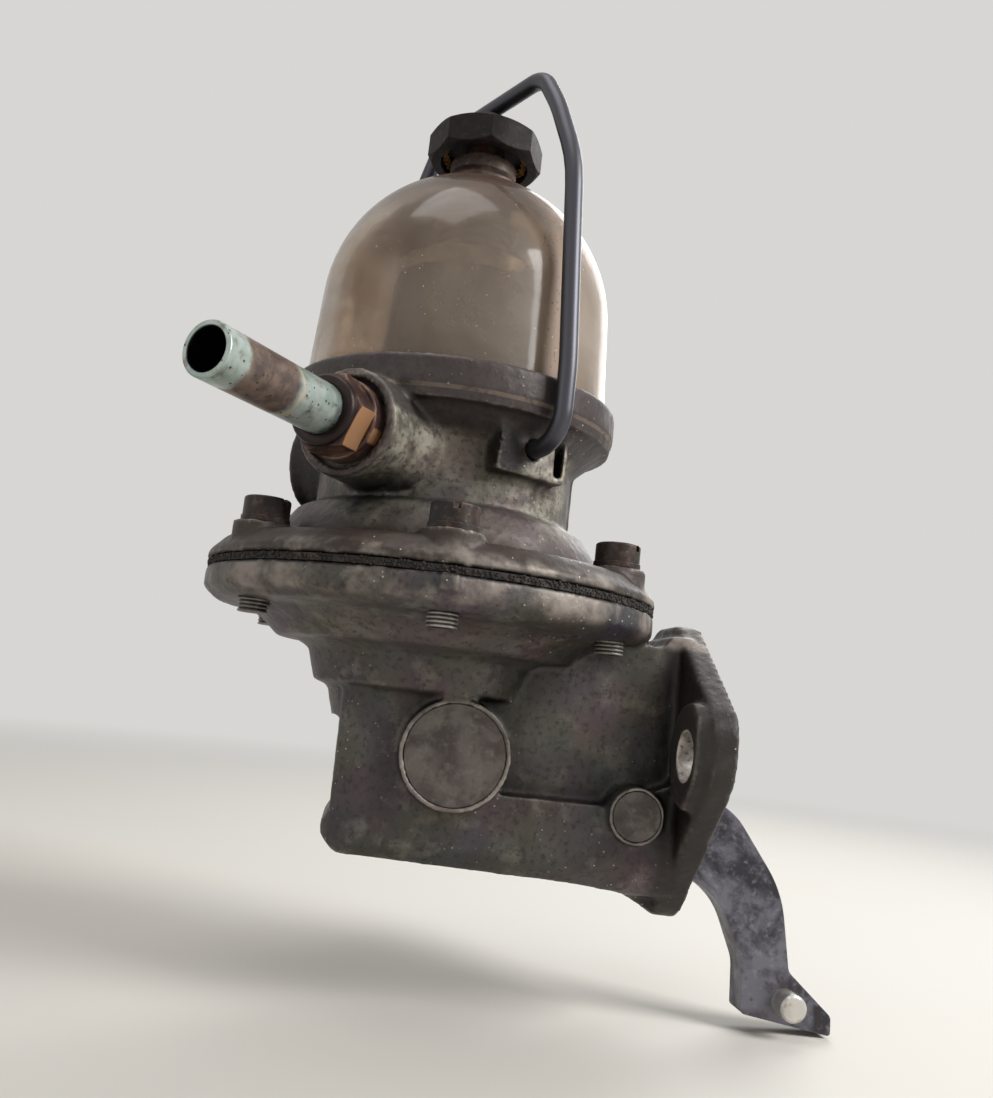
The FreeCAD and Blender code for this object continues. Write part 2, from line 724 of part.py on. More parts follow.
def flange_screws():
    """Six slotted cheese-head screws, their slots turned to different angles."""
    screws = []
    for i, degrees in enumerate(screw_places()):
        place = ray(degrees) * screw_circle_r
        head = disc(screw_head_r, screw_head_z, screw_head_z + screw_head_h)
        rim = [e for e in head.Edges if e.BoundBox.ZMin > screw_head_z + screw_head_h - 0.01]
        head = head.makeFillet(0.5, rim)
        shank = disc(screw_r, seam_bottom - lower_flange_t - screw_tail, screw_head_z)
        top = screw_head_z + screw_head_h
        slot = block(-6, 6, -screw_slot_w / 2, screw_slot_w / 2, top - screw_slot_depth, top + 1)
        screw = head.fuse(shank).cut(slot)
        screw.rotate(V(0, 0, 0), UP, 90 + 47 * i)
        screw.translate(place)
        screws.append(screw)
    return Part.makeCompound(screws)


def lock_washers():
    """Six spring washers, each split on one side."""
    washers = []
    low = seam_top + screw_boss_h
    for i, degrees in enumerate(screw_places()):
        place = ray(degrees) * screw_circle_r
        ring = disc(screw_head_r + 0.2, low, low + washer_t).cut(disc(screw_r, low - 1, low + washer_t + 1))
        ring = ring.cut(block(0, 8, -0.35, 0.35, low - 1, low + washer_t + 1))
        ring.rotate(V(0, 0, 0), UP, 31 * i)
        ring.translate(place)
        washers.append(ring)
    return Part.makeCompound(washers)


def glass_bowl():
    """Domed glass with a straight foot and a flat on its crown for the pressure cup."""
    foot = gasket_top_z
    inner = bowl_foot_r - bowl_wall
    top = bowl_top_z
    crown = top - bowl_wall
    return turned([
        (inner, foot), (bowl_foot_r, foot), (bowl_foot_r - 1.2, top - 28.0),
        (bowl_foot_r - 5.0, top - 14.6, "mid"), (bowl_foot_r - 13.2, top - 5.2),
        (bowl_flat_r + 3.4, top - 1.6, "mid"), (bowl_flat_r, top), (0, top),
        (0, crown), (bowl_flat_r - 1.0, crown), (bowl_flat_r + 2.0, crown - 1.4, "mid"),
        (inner - 11.9, crown - 4.6), (inner - 4.6, crown - 12.8, "mid"), (inner - 1.2, top - 28.0)])


def pressure_cup():
    """Neck that stands on the crown of the bowl, with a threaded stem."""
    top = bowl_top_z + cup_h
    return turned([
        (0, bowl_top_z), (cup_foot_r, bowl_top_z, 0.4), (cup_foot_r - 0.1, bowl_top_z + 1.2, 0.6),
        (cup_neck_r, top - nut_recess_h, 0.8), (cup_neck_r, top, 0.4), (stem_r, top),
        (stem_r, top + stem_l, 0.5), (0, top + stem_l)])


def clamp_nut():
    """Eight-sided nut with a hollow underside, a blind thread and a low crown."""
    low = nut_z
    top = nut_z + nut_h
    body = polygon(nut_sides, nut_corner_r, low, top, 0.0)
    wide = nut_corner_r + 0.4
    narrow = nut_corner_r - 1.0
    cone = turned([(0, low - 1), (narrow, low - 1), (narrow, low), (wide, low + 1.2), (wide, top - 1.2),
                   (narrow - 0.4, top), (narrow - 0.4, top + 1), (0, top + 1)])
    crown_top = top + nut_crown_h
    crown = turned([(0, top - 1), (7.5, top - 1), (nut_crown_r + 1.6, top + 1.6, 1.0),
                    (nut_crown_r, crown_top, 1.0), (0, crown_top)])
    body = joined([body.common(cone), crown])
    hollow = disc(nut_recess_r, low - 1, low + nut_recess_h)
    thread = disc(stem_r + thread_gap, low - 1, crown_top - 1.8)
    return without(body, [hollow, thread])


def bail_wire():
    """Round wire: two level ends, two legs with shoulders, and a flat top over the nut."""
    knee_z = bail_top_z - 23.0
    shoulder_z = bail_top_z - 8.6
    half = [(bail_end_r, bail_pivot_z, 0), (bail_half, bail_pivot_z, bail_bend_r),
            (bail_half, ring_top_z + 2.0, 60.0), (bail_half - bail_knee_in, knee_z, 30.0),
            (bail_half - bail_shoulder_in, shoulder_z, 40.0),
            (bail_half - bail_shoulder_in - 5.8, bail_top_z, 7.0)]
    points = [(-a, z, r) for a, z, r in half] + [(a, z, r) for a, z, r in reversed(half)]
    places = [V(a, 0, z) for a, z, r in points]
    edges = []
    start = places[0]
    for i in range(1, len(points) - 1):
        here = places[i]
        to_before = (places[i - 1] - here).normalize()
        to_after = (places[i + 1] - here).normalize()
        half_angle = to_before.getAngle(to_after) / 2
        radius = points[i][2]
        reach = radius / math.tan(half_angle)
        middle = (to_before + to_after).normalize()
        enter = here + to_before * reach
        leave = here + to_after * reach
        top = here + middle * (radius / math.sin(half_angle) - radius)
        edges.append(Part.makeLine(start, enter))
        edges.append(Part.Arc(enter, top, leave).toShape())
        start = leave
    edges.append(Part.makeLine(start, places[-1]))
    path = Part.Wire(edges)
    section = Part.Wire(Part.makeCircle(bail_wire_r, places[0], OUT))
    wire = path.makePipeShell([section], True, False)
    return round_axis(wire, bail_deg - 90)


def union_nut():
    """Brass male union nut: shank in the port, round rim, chamfered hexagon, short collar."""
    corner = union_flats / 2 / math.cos(math.pi / 6)
    hex_end = union_start + union_hex_l
    hexagon = polygon(6, corner, union_start, hex_end, union_turn)
    cone = turned([(0, union_start), (corner + 0.3, union_start), (corner + 0.3, hex_end - 0.7),
                   (corner - 0.9, hex_end), (0, hex_end)])
    rim = turned([(0, union_start), (union_rim_r - 0.5, union_start), (union_rim_r, union_start + 0.5),
                  (union_rim_r, union_start + union_rim_l, 0.4), (0, union_start + union_rim_l)])
    collar = turned([(0, hex_end - 1), (union_collar_r, hex_end - 1), (union_collar_r, union_end, 0.9),
                     (0, union_end)])
    shank = disc(port_thread_r, union_start - union_shank_l, union_start + 1)
    nut = joined([hexagon.common(cone), rim, collar, shank])
    nut = nut.cut(disc(pipe_stub_r + 0.1, union_start - union_shank_l - 1, union_end + 1))
    return aimed(nut, inlet_deg, inlet_z)


def fuel_pipe():
    """Straight steel pipe; its free end is a stub for a hose."""
    end = union_end + pipe_stub_l
    pipe = turned([(pipe_bore_r, pipe_start), (pipe_r, pipe_start), (pipe_r, union_end),
                   (pipe_stub_r, union_end), (pipe_stub_r, end, 0.3), (pipe_bore_r + 0.1, end, 0.2),
                   (pipe_bore_r, end - 0.6)])
    return aimed(pipe, inlet_deg, inlet_z)


def ferrule():
    """Olive that the union nut squeezes on the pipe."""
    end = pipe_start + ferrule_l
    ring = turned([(pipe_r, pipe_start), (port_thread_r - 0.9, pipe_start),
                   (port_thread_r - 0.3, (pipe_start + end) / 2, "mid"),
                   (port_thread_r - 0.9, end), (pipe_r, end)])
    return aimed(ring, inlet_deg, inlet_z)


def filter_screen():
    """Gauze sleeve that stands on the bowl seat."""
    top = seat_z + screen_h
    return disc(screen_r, seat_z, top).cut(disc(screen_r - screen_wall, seat_z - 1, top + 1))


def filter_cap():
    """Pressed cap on the sleeve, pierced for the post."""
    top = seat_z + screen_h
    return turned([
        (screen_r + 0.1, top - 3.0), (cap_r, top - 3.0), (cap_r, top + cap_t, 1.4),
        (9.0, top + cap_t + 1.2, 2.0),
        (post_r + clearance, top + cap_t + 1.2), (post_r + clearance, top + 1.2), (8.6, top + 1.2, 1.0),
        (screen_r - 2.0, top), (screen_r + 0.1, top)])


def filter_post():
    """Stud up the middle of the sleeve with a round head for the spring."""
    low = well_z - 3.0
    top = post_head_z + post_head_t
    return turned([(0, low), (post_r, low), (post_r, post_head_z), (post_head_r, post_head_z, 0.4),
                   (post_head_r - 0.4, top, 0.6), (3.6, top), (3.2, top + 2.2, 1.0), (0, top + 2.2)])


def oil_seal():
    """Rubber ring with a lip on the pull rod."""
    low = spring_well_z - seal_h
    return turned([(rod_r + running, low), (seal_r, low), (seal_r, spring_well_z), (5.0, spring_well_z, 0.5),
                   (rod_r + running, spring_well_z - 1.2)])


def seal_retainer():
    """Pressed washer over the seal; the diaphragm spring stands on it."""
    low = spring_well_z
    return turned([(4.6, low), (spring_well_r - clearance, low), (spring_well_r - clearance, low + 1.2, 0.4),
                   (9.4, low + 1.2, 0.6), (8.8, low + 2.4, 0.4), (4.6, low + 2.4)])


def bowl_gasket():
    """Flat ring under the foot of the glass."""
    return disc(bowl_foot_r, seat_z, gasket_top_z).cut(disc(gasket_inner_r, seat_z - 1, gasket_top_z + 1))


def main():
    os.makedirs("parts", exist_ok=True)
    save("upper_body", upper_body())
    save("lower_body", lower_body())
    save("diaphragm", diaphragm())
    save("upper_plate", diaphragm_plate(True))
    save("lower_plate", diaphragm_plate(False))
    save("pull_rod", pull_rod())
    save("rod_nut", rod_nut())
    lower_plate_z = -seam_t / 2 - plate_t
    save("diaphragm_spring", coil(coil_r, coil_wire_r, spring_well_z + 1.2, lower_plate_z, coil_turns))
    save("oil_seal", oil_seal())
    save("seal_retainer", seal_retainer())
    save("link_lever", link_lever())
    save("link_pin", pin(link_pin_r, -link_outer_y, link_outer_y, 0, link_pin_z, 0.2))
    save("rocker_arm", rocker_arm())
    near_end = -arm_t / 2 - tip_pin_out
    far_end = arm_t / 2 + tip_pin_back
    save("arm_tip_pin", pin(tip_pin_r, near_end, far_end, tip_pin_x, tip_pin_z))
    arm_coil = coil(arm_coil_r, arm_wire_r, arm_seat_z, roof_z, arm_coil_turns)
    arm_coil.translate(V(arm_spring_x, 0, 0))
    save("arm_return_spring", arm_coil)
    plug_floor = pin_boss_y - 0.4 - pin_plug_t
    save("pivot_pin", pin(pivot_r, -plug_floor, plug_floor, pivot_x, pivot_z))
    plugs = [bar(pin_plug_r, -pin_boss_y + 0.4, -plug_floor, pivot_x, pivot_z)]
    plugs.append(bar(pin_plug_r, plug_floor, pin_boss_y - 0.4, pivot_x, pivot_z))
    save("pin_plugs", Part.makeCompound(plugs))
    save("side_plug", bar(plug_r, -plug_boss_y + 0.4, -plug_boss_y + 0.4 + plug_t, plug_x, plug_z))
    save("flange_screws", flange_screws())
    save("lock_washers", lock_washers())
    for name, opens_up in (("outlet_valve", True), ("inlet_valve", False)):
        for kind, piece in zip(("seat", "cage", "disc", "spring"), valve(opens_up)):
            save("%s_%s" % (name, kind), piece)
    save("valve_retainer", valve_retainer())
    save("retainer_screws", retainer_screws())
    save("bowl_gasket", bowl_gasket())
    save("glass_bowl", glass_bowl())
    save("filter_screen", filter_screen())
    save("filter_cap", filter_cap())
    save("filter_post", filter_post())
    cap_top = seat_z + screen_h + cap_t + 1.2
    save("filter_spring", coil(7.6, filter_wire_r, cap_top, post_head_z, 3))
    save("pressure_cup", pressure_cup())
    save("clamp_nut", clamp_nut())
    save("bail_wire", bail_wire())
    save("union_nut", union_nut())
    save("fuel_pipe", fuel_pipe())
    save("ferrule", ferrule())


main()
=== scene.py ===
"""Dressed model of an old lever-driven fuel pump with a stained glass bowl."""
import math

import bmesh
import bpy
from bpy.props import FloatProperty, FloatVectorProperty, IntProperty, PointerProperty
from mathutils import Matrix, Vector


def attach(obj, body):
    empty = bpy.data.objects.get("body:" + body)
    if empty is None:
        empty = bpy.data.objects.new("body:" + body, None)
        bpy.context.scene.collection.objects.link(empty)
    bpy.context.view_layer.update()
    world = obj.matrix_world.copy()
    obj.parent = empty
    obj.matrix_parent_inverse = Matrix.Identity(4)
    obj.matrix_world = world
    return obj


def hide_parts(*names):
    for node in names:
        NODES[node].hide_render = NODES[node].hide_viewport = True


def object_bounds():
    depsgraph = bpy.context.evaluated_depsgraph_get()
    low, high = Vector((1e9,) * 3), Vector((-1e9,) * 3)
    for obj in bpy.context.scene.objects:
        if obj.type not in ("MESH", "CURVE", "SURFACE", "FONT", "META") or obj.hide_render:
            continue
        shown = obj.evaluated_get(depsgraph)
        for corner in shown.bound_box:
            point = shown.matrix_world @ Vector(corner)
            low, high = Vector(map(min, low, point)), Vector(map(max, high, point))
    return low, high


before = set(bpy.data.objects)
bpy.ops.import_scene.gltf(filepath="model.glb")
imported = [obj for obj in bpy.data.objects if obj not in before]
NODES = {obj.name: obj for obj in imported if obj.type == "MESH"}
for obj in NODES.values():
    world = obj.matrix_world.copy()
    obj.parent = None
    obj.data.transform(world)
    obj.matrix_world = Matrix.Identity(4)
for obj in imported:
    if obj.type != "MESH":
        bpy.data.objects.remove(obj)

bl_info = {
    "name": "Glass Bowl Fuel Pump",
    "version": (1, 0, 0),
    "blender": (4, 5, 0),
    "location": "View3D > Sidebar > Fuel Pump",
    "description": "Finishes, worn castings, stained glass, wire and grime for a diaphragm fuel pump",
    "category": "Object",
}

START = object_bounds()
MM = 0.001
MOST_TRIANGLES = 185000

# The drawing's datum, on the pump's axis at the diaphragm seam, seen from the mounting face
AXIS_X = -54.0
SEAM_Z = 26.0


def at(x, y, z):
    """Point in metres from millimetres measured at the diaphragm seam."""
    return Vector(((x + AXIS_X) * MM, y * MM, (z + SEAM_Z) * MM))


def ray(degrees):
    """Level direction round the pump's axis, from -Y towards +X."""
    angle = math.radians(degrees)
    return Vector((math.sin(angle), -math.cos(angle), 0.0))


INLET = ray(-32.5)
INLET_FOOT = at(0, 0, 24.75)
BAIL = ray(30.0)
BOLT_Y = 26.5

# The bail's half path in millimetres: distance from the axis, height, corner radius
BAIL_PATH = [(21.0, 26.4, 0.0), (35.45, 26.4, 6.5), (35.45, 41.5, 60.0), (31.05, 83.1, 30.0),
             (24.05, 97.5, 40.0), (18.25, 106.1, 7.0)]

# Radii and heights in millimetres where dirt gathers
SEAM_CRUST_R = 44.1
SEAM_CRUST_Z = 0.55
NUT_HOLLOW_R = (7.9, 9.0)
NUT_HOLLOW_Z = (95.2, 94.2)
BOWL_FOOT_R = 31.25
BOWL_FOOT_Z = (38.9, 39.5)


def paint(red, green, blue):
    """Linear colour with full opacity from 0 to 255 screen values."""
    def channel(value):
        value /= 255
        return value / 12.92 if value <= 0.04045 else ((value + 0.055) / 1.055) ** 2.4
    return (channel(red), channel(green), channel(blue), 1.0)


def colour(label, text, values):
    """Colour property whose default is given in 0 to 255 screen values."""
    return FloatVectorProperty(name=label, description=text, subtype="COLOR", size=4, min=0.0, max=1.0,
                               default=paint(*values))


class PumpColours(bpy.types.PropertyGroup):
    """Colours that a user would change."""
    housing: colour("Lever housing", "Oily lower casting", (74, 66, 62))
    flange: colour("Upper casting", "Stained valve body", (88, 76, 68))
    oxide: colour("Pale oxide", "Green-grey bloom round the ports", (166, 162, 145))
    # Also painted shade: besides dirt in the seam, this colour darkens corners, crevices and the side of the
    # bail lug where shade falls.
    grime_and_shade: colour("Grime", "Brown-black dirt in the corners", (14, 9, 8))
    # Also painted highlight: this colour lightens the flange rims all round.
    wear_and_highlight: colour("Worn edge", "Bare metal where the castings are rubbed", (166, 156, 146))
    rust: colour("Rust", "Rust on the screws and the bail", (92, 54, 38))
    brass: colour("Brass", "Union nut where it is rubbed", (186, 140, 102))
    zinc: colour("Zinc", "Plating on the fuel pipe", (150, 166, 158))
    lever: colour("Lever steel", "Forged rocker arm", (112, 110, 120))
    stain: colour("Bowl stain", "Brown film in the glass", (126, 98, 78))
    floor: colour("Floor", "Studio floor", (220, 217, 211))


class PumpSizes(bpy.types.PropertyGroup):
    """Sizes that a user would change."""
    grain: FloatProperty(name="Casting grain", description="Distance between bumps of the cast skin",
                         default=0.0011, min=0.0002, max=0.01, unit="LENGTH")
    skin: FloatProperty(name="Skin depth", description="How far the cast skin is pitted", default=0.00022,
                        min=0.0, max=0.001, unit="LENGTH")
    voxel: FloatProperty(name="Casting mesh", description="Mesh size of the worn castings", default=0.00055,
                         min=0.0003, max=0.002, unit="LENGTH")
    light: FloatProperty(name="Lamp power", description="Power of the main lamp", default=1.1, min=0.0,
                         unit="POWER")
    lump: FloatProperty(name="Dirt lumps", description="Size of the largest lumps of dirt", default=0.00042,
                        min=0.0001, max=0.002, unit="LENGTH")
    seed: IntProperty(name="Dirt seed", description="Changes where the dirt lies", default=4, min=0)


class Finish:
    """A node material while it is being built."""

    def __init__(self, name):
        self.material = bpy.data.materials.new(name)
        self.material.use_nodes = True
        self.tree = self.material.node_tree
        self.shader = self.tree.nodes["Principled BSDF"]
        self.place = self.node("ShaderNodeTexCoord").outputs["Object"]

    def put(self, socket, value):
        """Join or set one input."""
        if isinstance(value, bpy.types.NodeSocket):
            self.tree.links.new(value, socket)
        else:
            socket.default_value = value

    def node(self, kind, inputs=None, **settings):
        """Add a node with its settings and inputs."""
        made = self.tree.nodes.new(kind)
        for key, value in settings.items():
            setattr(made, key, value)
        for key, value in (inputs or {}).items():
            self.put(made.inputs[key], value)
        return made

    def level(self, value, low, high):
        """0 below the low value, 1 above the high one, smooth between."""
        made = self.node("ShaderNodeMapRange", {"Value": value, "From Min": low, "From Max": high},
                         interpolation_type="SMOOTHSTEP")
        return made.outputs["Result"]

    def moved(self, centre=(0, 0, 0), scale=(1, 1, 1)):
        """Object coordinates about a centre, scaled."""
        back = tuple(-value for value in centre)
        about = self.node("ShaderNodeVectorMath", {0: self.place, 1: back}, operation="ADD")
        made = self.node("ShaderNodeMapping", {"Vector": about.outputs[0], "Scale": scale})
        return made.outputs["Vector"]

    def noise(self, size, detail=4.0, vector=None, warp=0.0):
        """Raw noise with features about a size in metres across."""
        made = self.node("ShaderNodeTexNoise", {
            "Vector": vector or self.place, "Scale": 1.0 / size, "Detail": detail, "Roughness": 0.6,
            "Distortion": warp})
        return made.outputs["Fac"]

    def patches(self, size, low, high, **more):
        """Mask of soft patches."""
        return self.level(self.noise(size, **more), low, high)

    def grains(self, size, low, high):
        """Mask of round specks, 1 inside a speck, from cells of a size."""
        made = self.node("ShaderNodeTexVoronoi", {
            "Vector": self.place, "Scale": 1.0 / size, "Randomness": 1.0})
        return self.level(made.outputs["Distance"], high, low)

    def maths(self, kind, first, second=0.5, clamp=False):
        """One sum."""
        made = self.node("ShaderNodeMath", {0: first, 1: second}, operation=kind, use_clamp=clamp)
        return made.outputs[0]

    def mix(self, amount, first, second):
        """Blend of two colours."""
        made = self.node("ShaderNodeMix", {"Factor": amount}, data_type="RGBA")
        self.put(made.inputs[6], first)
        self.put(made.inputs[7], second)
        return made.outputs[2]

    def corners(self, reach):
        """1 in corners and crevices, 0 in the open."""
        made = self.node("ShaderNodeAmbientOcclusion", {"Distance": reach}, samples=4, only_local=True)
        return self.level(made.outputs["AO"], 0.85, 0.35)

    def edges(self, radius):
        """1 along sharp edges."""
        made = self.node("ShaderNodeBevel", {"Radius": radius}, samples=4)
        flat = self.node("ShaderNodeNewGeometry").outputs["Normal"]
        same = self.node("ShaderNodeVectorMath", {0: made.outputs[0], 1: flat}, operation="DOT_PRODUCT")
        return self.level(self.outside(same.outputs["Value"]), 0.012, 0.2)

    def ridges(self, low, high):
        """1 on the outward edges of a merged mesh."""
        return self.level(self.node("ShaderNodeNewGeometry").outputs["Pointiness"], low, high)

    def height(self, low, high):
        """1 above the high level, 0 below the low one, in millimetres at the seam."""
        z = self.node("ShaderNodeSeparateXYZ", {"Vector": self.place}).outputs["Z"]
        return self.level(z, (low + SEAM_Z) * MM, (high + SEAM_Z) * MM)

    def near(self, centre, inner, outer):
        """1 within the inner distance of a point, 0 beyond the outer one."""
        made = self.node("ShaderNodeVectorMath", {0: self.place, 1: tuple(centre)}, operation="DISTANCE")
        return self.level(made.outputs["Value"], outer, inner)

    def around(self, centre, direction, inner, outer):
        """1 within the inner distance of a line, 0 beyond the outer one."""
        away = self.node("ShaderNodeVectorMath", {0: self.moved(centre), 1: tuple(direction)},
                         operation="CROSS_PRODUCT")
        made = self.node("ShaderNodeVectorMath", {0: away.outputs[0]}, operation="LENGTH")
        return self.level(made.outputs["Value"], outer, inner)

    def along(self, centre, direction, low, high):
        """0 before the low distance along a line, 1 past the high one."""
        made = self.node("ShaderNodeVectorMath", {0: self.moved(centre), 1: tuple(direction)},
                         operation="DOT_PRODUCT")
        return self.level(made.outputs["Value"], low, high)

    def outside(self, mask):
        """1 where a mask is 0."""
        return self.maths("SUBTRACT", 1.0, mask)

    def between(self, low, full, fading, high):
        """1 from the full height to the fading one, 0 below the low one and above the high one."""
        return self.maths("SUBTRACT", self.height(low, full), self.height(fading, high))

    def both(self, *masks):
        """Product of masks."""
        result = masks[0]
        for mask in masks[1:]:
            result = self.maths("MULTIPLY", result, mask)
        return result

    def bump(self, value, depth, strength=1.0, soft=None):
        """Normal from a height value, depth in metres."""
        inputs = {"Height": value, "Distance": depth, "Strength": strength}
        if soft is not None:
            inputs["Normal"] = soft
        return self.node("ShaderNodeBump", inputs).outputs["Normal"]

    def round_edges(self, radius):
        """Normal that rounds sharp edges."""
        return self.node("ShaderNodeBevel", {"Radius": radius}, samples=4).outputs["Normal"]

    def finish(self, **inputs):
        """Set the surface and give the material back."""
        for key, value in inputs.items():
            self.put(self.shader.inputs[key.replace("_", " ")], value)
        return self.material


def shine(finish, low, high, mask):
    """Roughness between two values by a mask."""
    made = finish.node("ShaderNodeMapRange", {"Value": mask, "To Min": low, "To Max": high})
    return made.outputs["Result"]


def cast_metal(name, base, dark, pale, wear_and_highlight, marks=()):
    """Sand-cast metal: mottled skin, specks, dirt and painted shade in corners, rubbed edges and worn flange
    rims with a painted highlight.

    Marks are pairs of a mask maker and a colour laid over the skin.
    """
    f = Finish(name)
    c = bpy.context.scene.pump_colours
    skin = f.mix(f.patches(0.017, 0.34, 0.66, detail=6.0, warp=0.6), base, dark)
    skin = f.mix(f.both(f.patches(0.006, 0.5, 0.7, detail=5.0), 0.75), skin, pale)
    tints = f.node("ShaderNodeTexNoise", {"Vector": f.place, "Scale": 90.0, "Detail": 3.0}).outputs["Color"]
    skin = f.mix(0.05, skin, tints)
    for mask, tone in marks:
        skin = f.mix(mask(f), skin, tone)
    skin = f.mix(f.both(f.patches(0.0011, 0.5, 0.7, detail=3.0), 0.7), skin, dark)
    specks = f.both(f.grains(0.0016, 0.07, 0.13), f.patches(0.02, 0.45, 0.62))
    skin = f.mix(specks, skin, paint(190, 184, 172))
    rub = f.both(f.ridges(0.515, 0.58), f.patches(0.008, 0.3, 0.6, detail=5.0), 0.85)
    skin = f.mix(rub, skin, wear_and_highlight)
    # Worn metal and painted highlight: the outer rims of the flanges are lightened all round in the
    # worn-edge colour.
    rim = f.both(f.between(-7.2, -5.4, 3.6, 6.2),
                 f.outside(f.around(at(0, 0, 0), (0, 0, 1), 0.0425, 0.0440)),
                 f.patches(0.011, 0.46, 0.66, detail=6.0), 0.6)
    skin = f.mix(rim, skin, wear_and_highlight)
    seam = f.both(f.between(-1.5, -0.9, 0.9, 1.5), f.patches(0.003, 0.3, 0.5))
    skin = f.mix(seam, skin, c.grime_and_shade)
    # Dirt and painted shade: ambient occlusion darkens corners and crevices, where shade falls and dirt
    # gathers.
    wide = f.both(f.corners(0.014), f.patches(0.009, 0.2, 0.5, detail=6.0), 0.92)
    skin = f.mix(wide, skin, c.grime_and_shade)
    tight = f.both(f.corners(0.005), f.patches(0.004, 0.1, 0.4))
    skin = f.mix(tight, skin, c.grime_and_shade)
    rough = shine(f, 0.34, 0.66, f.noise(0.003, detail=5.0))
    relief = f.maths("ADD", f.both(f.noise(0.0011, detail=5.0), 0.9),
                     f.both(f.grains(0.0016, 0.05, 0.3), 0.35))
    return f.finish(Base_Color=skin, Roughness=rough, Metallic=0.35, Normal=f.bump(relief, 0.00013, 0.7))


def valve_body_marks():
    """Oxide bloom, darker and paler bands and painted shade on the valve body, as pairs of a mask maker and
    a colour.
    """
    c = bpy.context.scene.pump_colours
    outlet = ray(-114.0)
    outlet_foot = at(0, 0, 25.5)
    boss = INLET_FOOT + INLET * 0.031
    shoulder = at(20.0, -20.0, 22.0)
    lug_cheek = at(0, 0, 24.5) + BAIL * 0.0295 + ray(-60.0) * 0.0062
    return [
        (lambda f: f.both(f.near(boss, 0.011, 0.019), f.patches(0.004, 0.3, 0.6), 0.8), c.oxide),
        (lambda f: f.both(f.near(shoulder, 0.006, 0.0125), f.patches(0.004, 0.3, 0.6), 0.8), c.oxide),
        # Painted shade: the mouth of the inlet boss round the union nut is darkened where shade falls in the
        # gap.
        (lambda f: f.both(f.along(INLET_FOOT, INLET, 0.0374, 0.0379),
                          f.around(INLET_FOOT, INLET, 0.0103, 0.0112)), paint(44, 30, 32)),
        (lambda f: f.both(f.along(outlet_foot, outlet, 0.020, 0.024),
                          f.around(outlet_foot, outlet, 0.0115, 0.0125), 0.9), paint(20, 14, 14)),
        (lambda f: f.both(f.height(27.2, 28.4), 0.9), paint(60, 52, 52)),
        (lambda f: f.both(f.between(33.1, 33.4, 33.8, 34.1), f.patches(0.006, 0.3, 0.5), 0.6),
         paint(132, 116, 102)),
        (lambda f: f.both(f.outside(f.height(6.0, 9.0)), 0.85), paint(50, 39, 33)),
        # Painted shade: the side of the bail lug is darkened where shade falls beside it.
        (lambda f: f.near(lug_cheek, 0.0032, 0.0062), c.grime_and_shade)]


def housing_marks():
    """Mounting flange darkened by oil and painted shade, with bright bolt holes, as pairs of a mask maker
    and a colour.
    """
    out = (1, 0, 0)
    holes = [at(0, y, -SEAM_Z) for y in (-BOLT_Y, BOLT_Y)]
    # Oil and painted shade: the mounting flange beyond the housing is darkened where shade falls between
    # housing and flange.
    marks = [(lambda f: f.both(f.along(at(0, 0, 0), out, 0.0440, 0.0475), 0.8), paint(30, 23, 21))]
    marks += [(lambda f, p=p: f.around(p, out, 0.0046, 0.0048), paint(214, 206, 196)) for p in holes]
    return marks


def old_steel(name, base, dark, pale, rust, rub=0.5, metallic=0.6, grain=0.0008, rough=(0.32, 0.6),
              bevel=0.0003, specular=0.5):
    """Steel with oil stains, pits, rust spots, brighter edges and painted shade in corners."""
    f = Finish(name)
    skin = f.mix(f.patches(0.007, 0.38, 0.62, detail=6.0, warp=0.4), base, dark)
    skin = f.mix(f.maths("MULTIPLY", f.patches(0.0016, 0.5, 0.75, detail=5.0), 0.6), skin, pale)
    skin = f.mix(f.maths("MULTIPLY", f.patches(0.003, 0.55, 0.7, detail=6.0), 0.7), skin, rust)
    skin = f.mix(f.maths("MULTIPLY", f.edges(bevel * 1.4), rub), skin, pale)
    # Painted shade: ambient occlusion darkens corners and crevices in the dirt colour.
    dirt = f.maths("MULTIPLY", f.corners(0.002), 0.8)
    skin = f.mix(dirt, skin, bpy.context.scene.pump_colours.grime_and_shade)
    shade = shine(f, rough[0], rough[1], f.noise(0.002, detail=5.0))
    relief = f.maths("ADD", f.noise(grain, detail=4.0), f.grains(grain * 1.8, 0.08, 0.3))
    normal = f.bump(relief, 0.00006, 0.5, soft=f.round_edges(bevel))
    return f.finish(Base_Color=skin, Roughness=shade, Metallic=metallic, Specular_IOR_Level=specular,
                    Normal=normal)


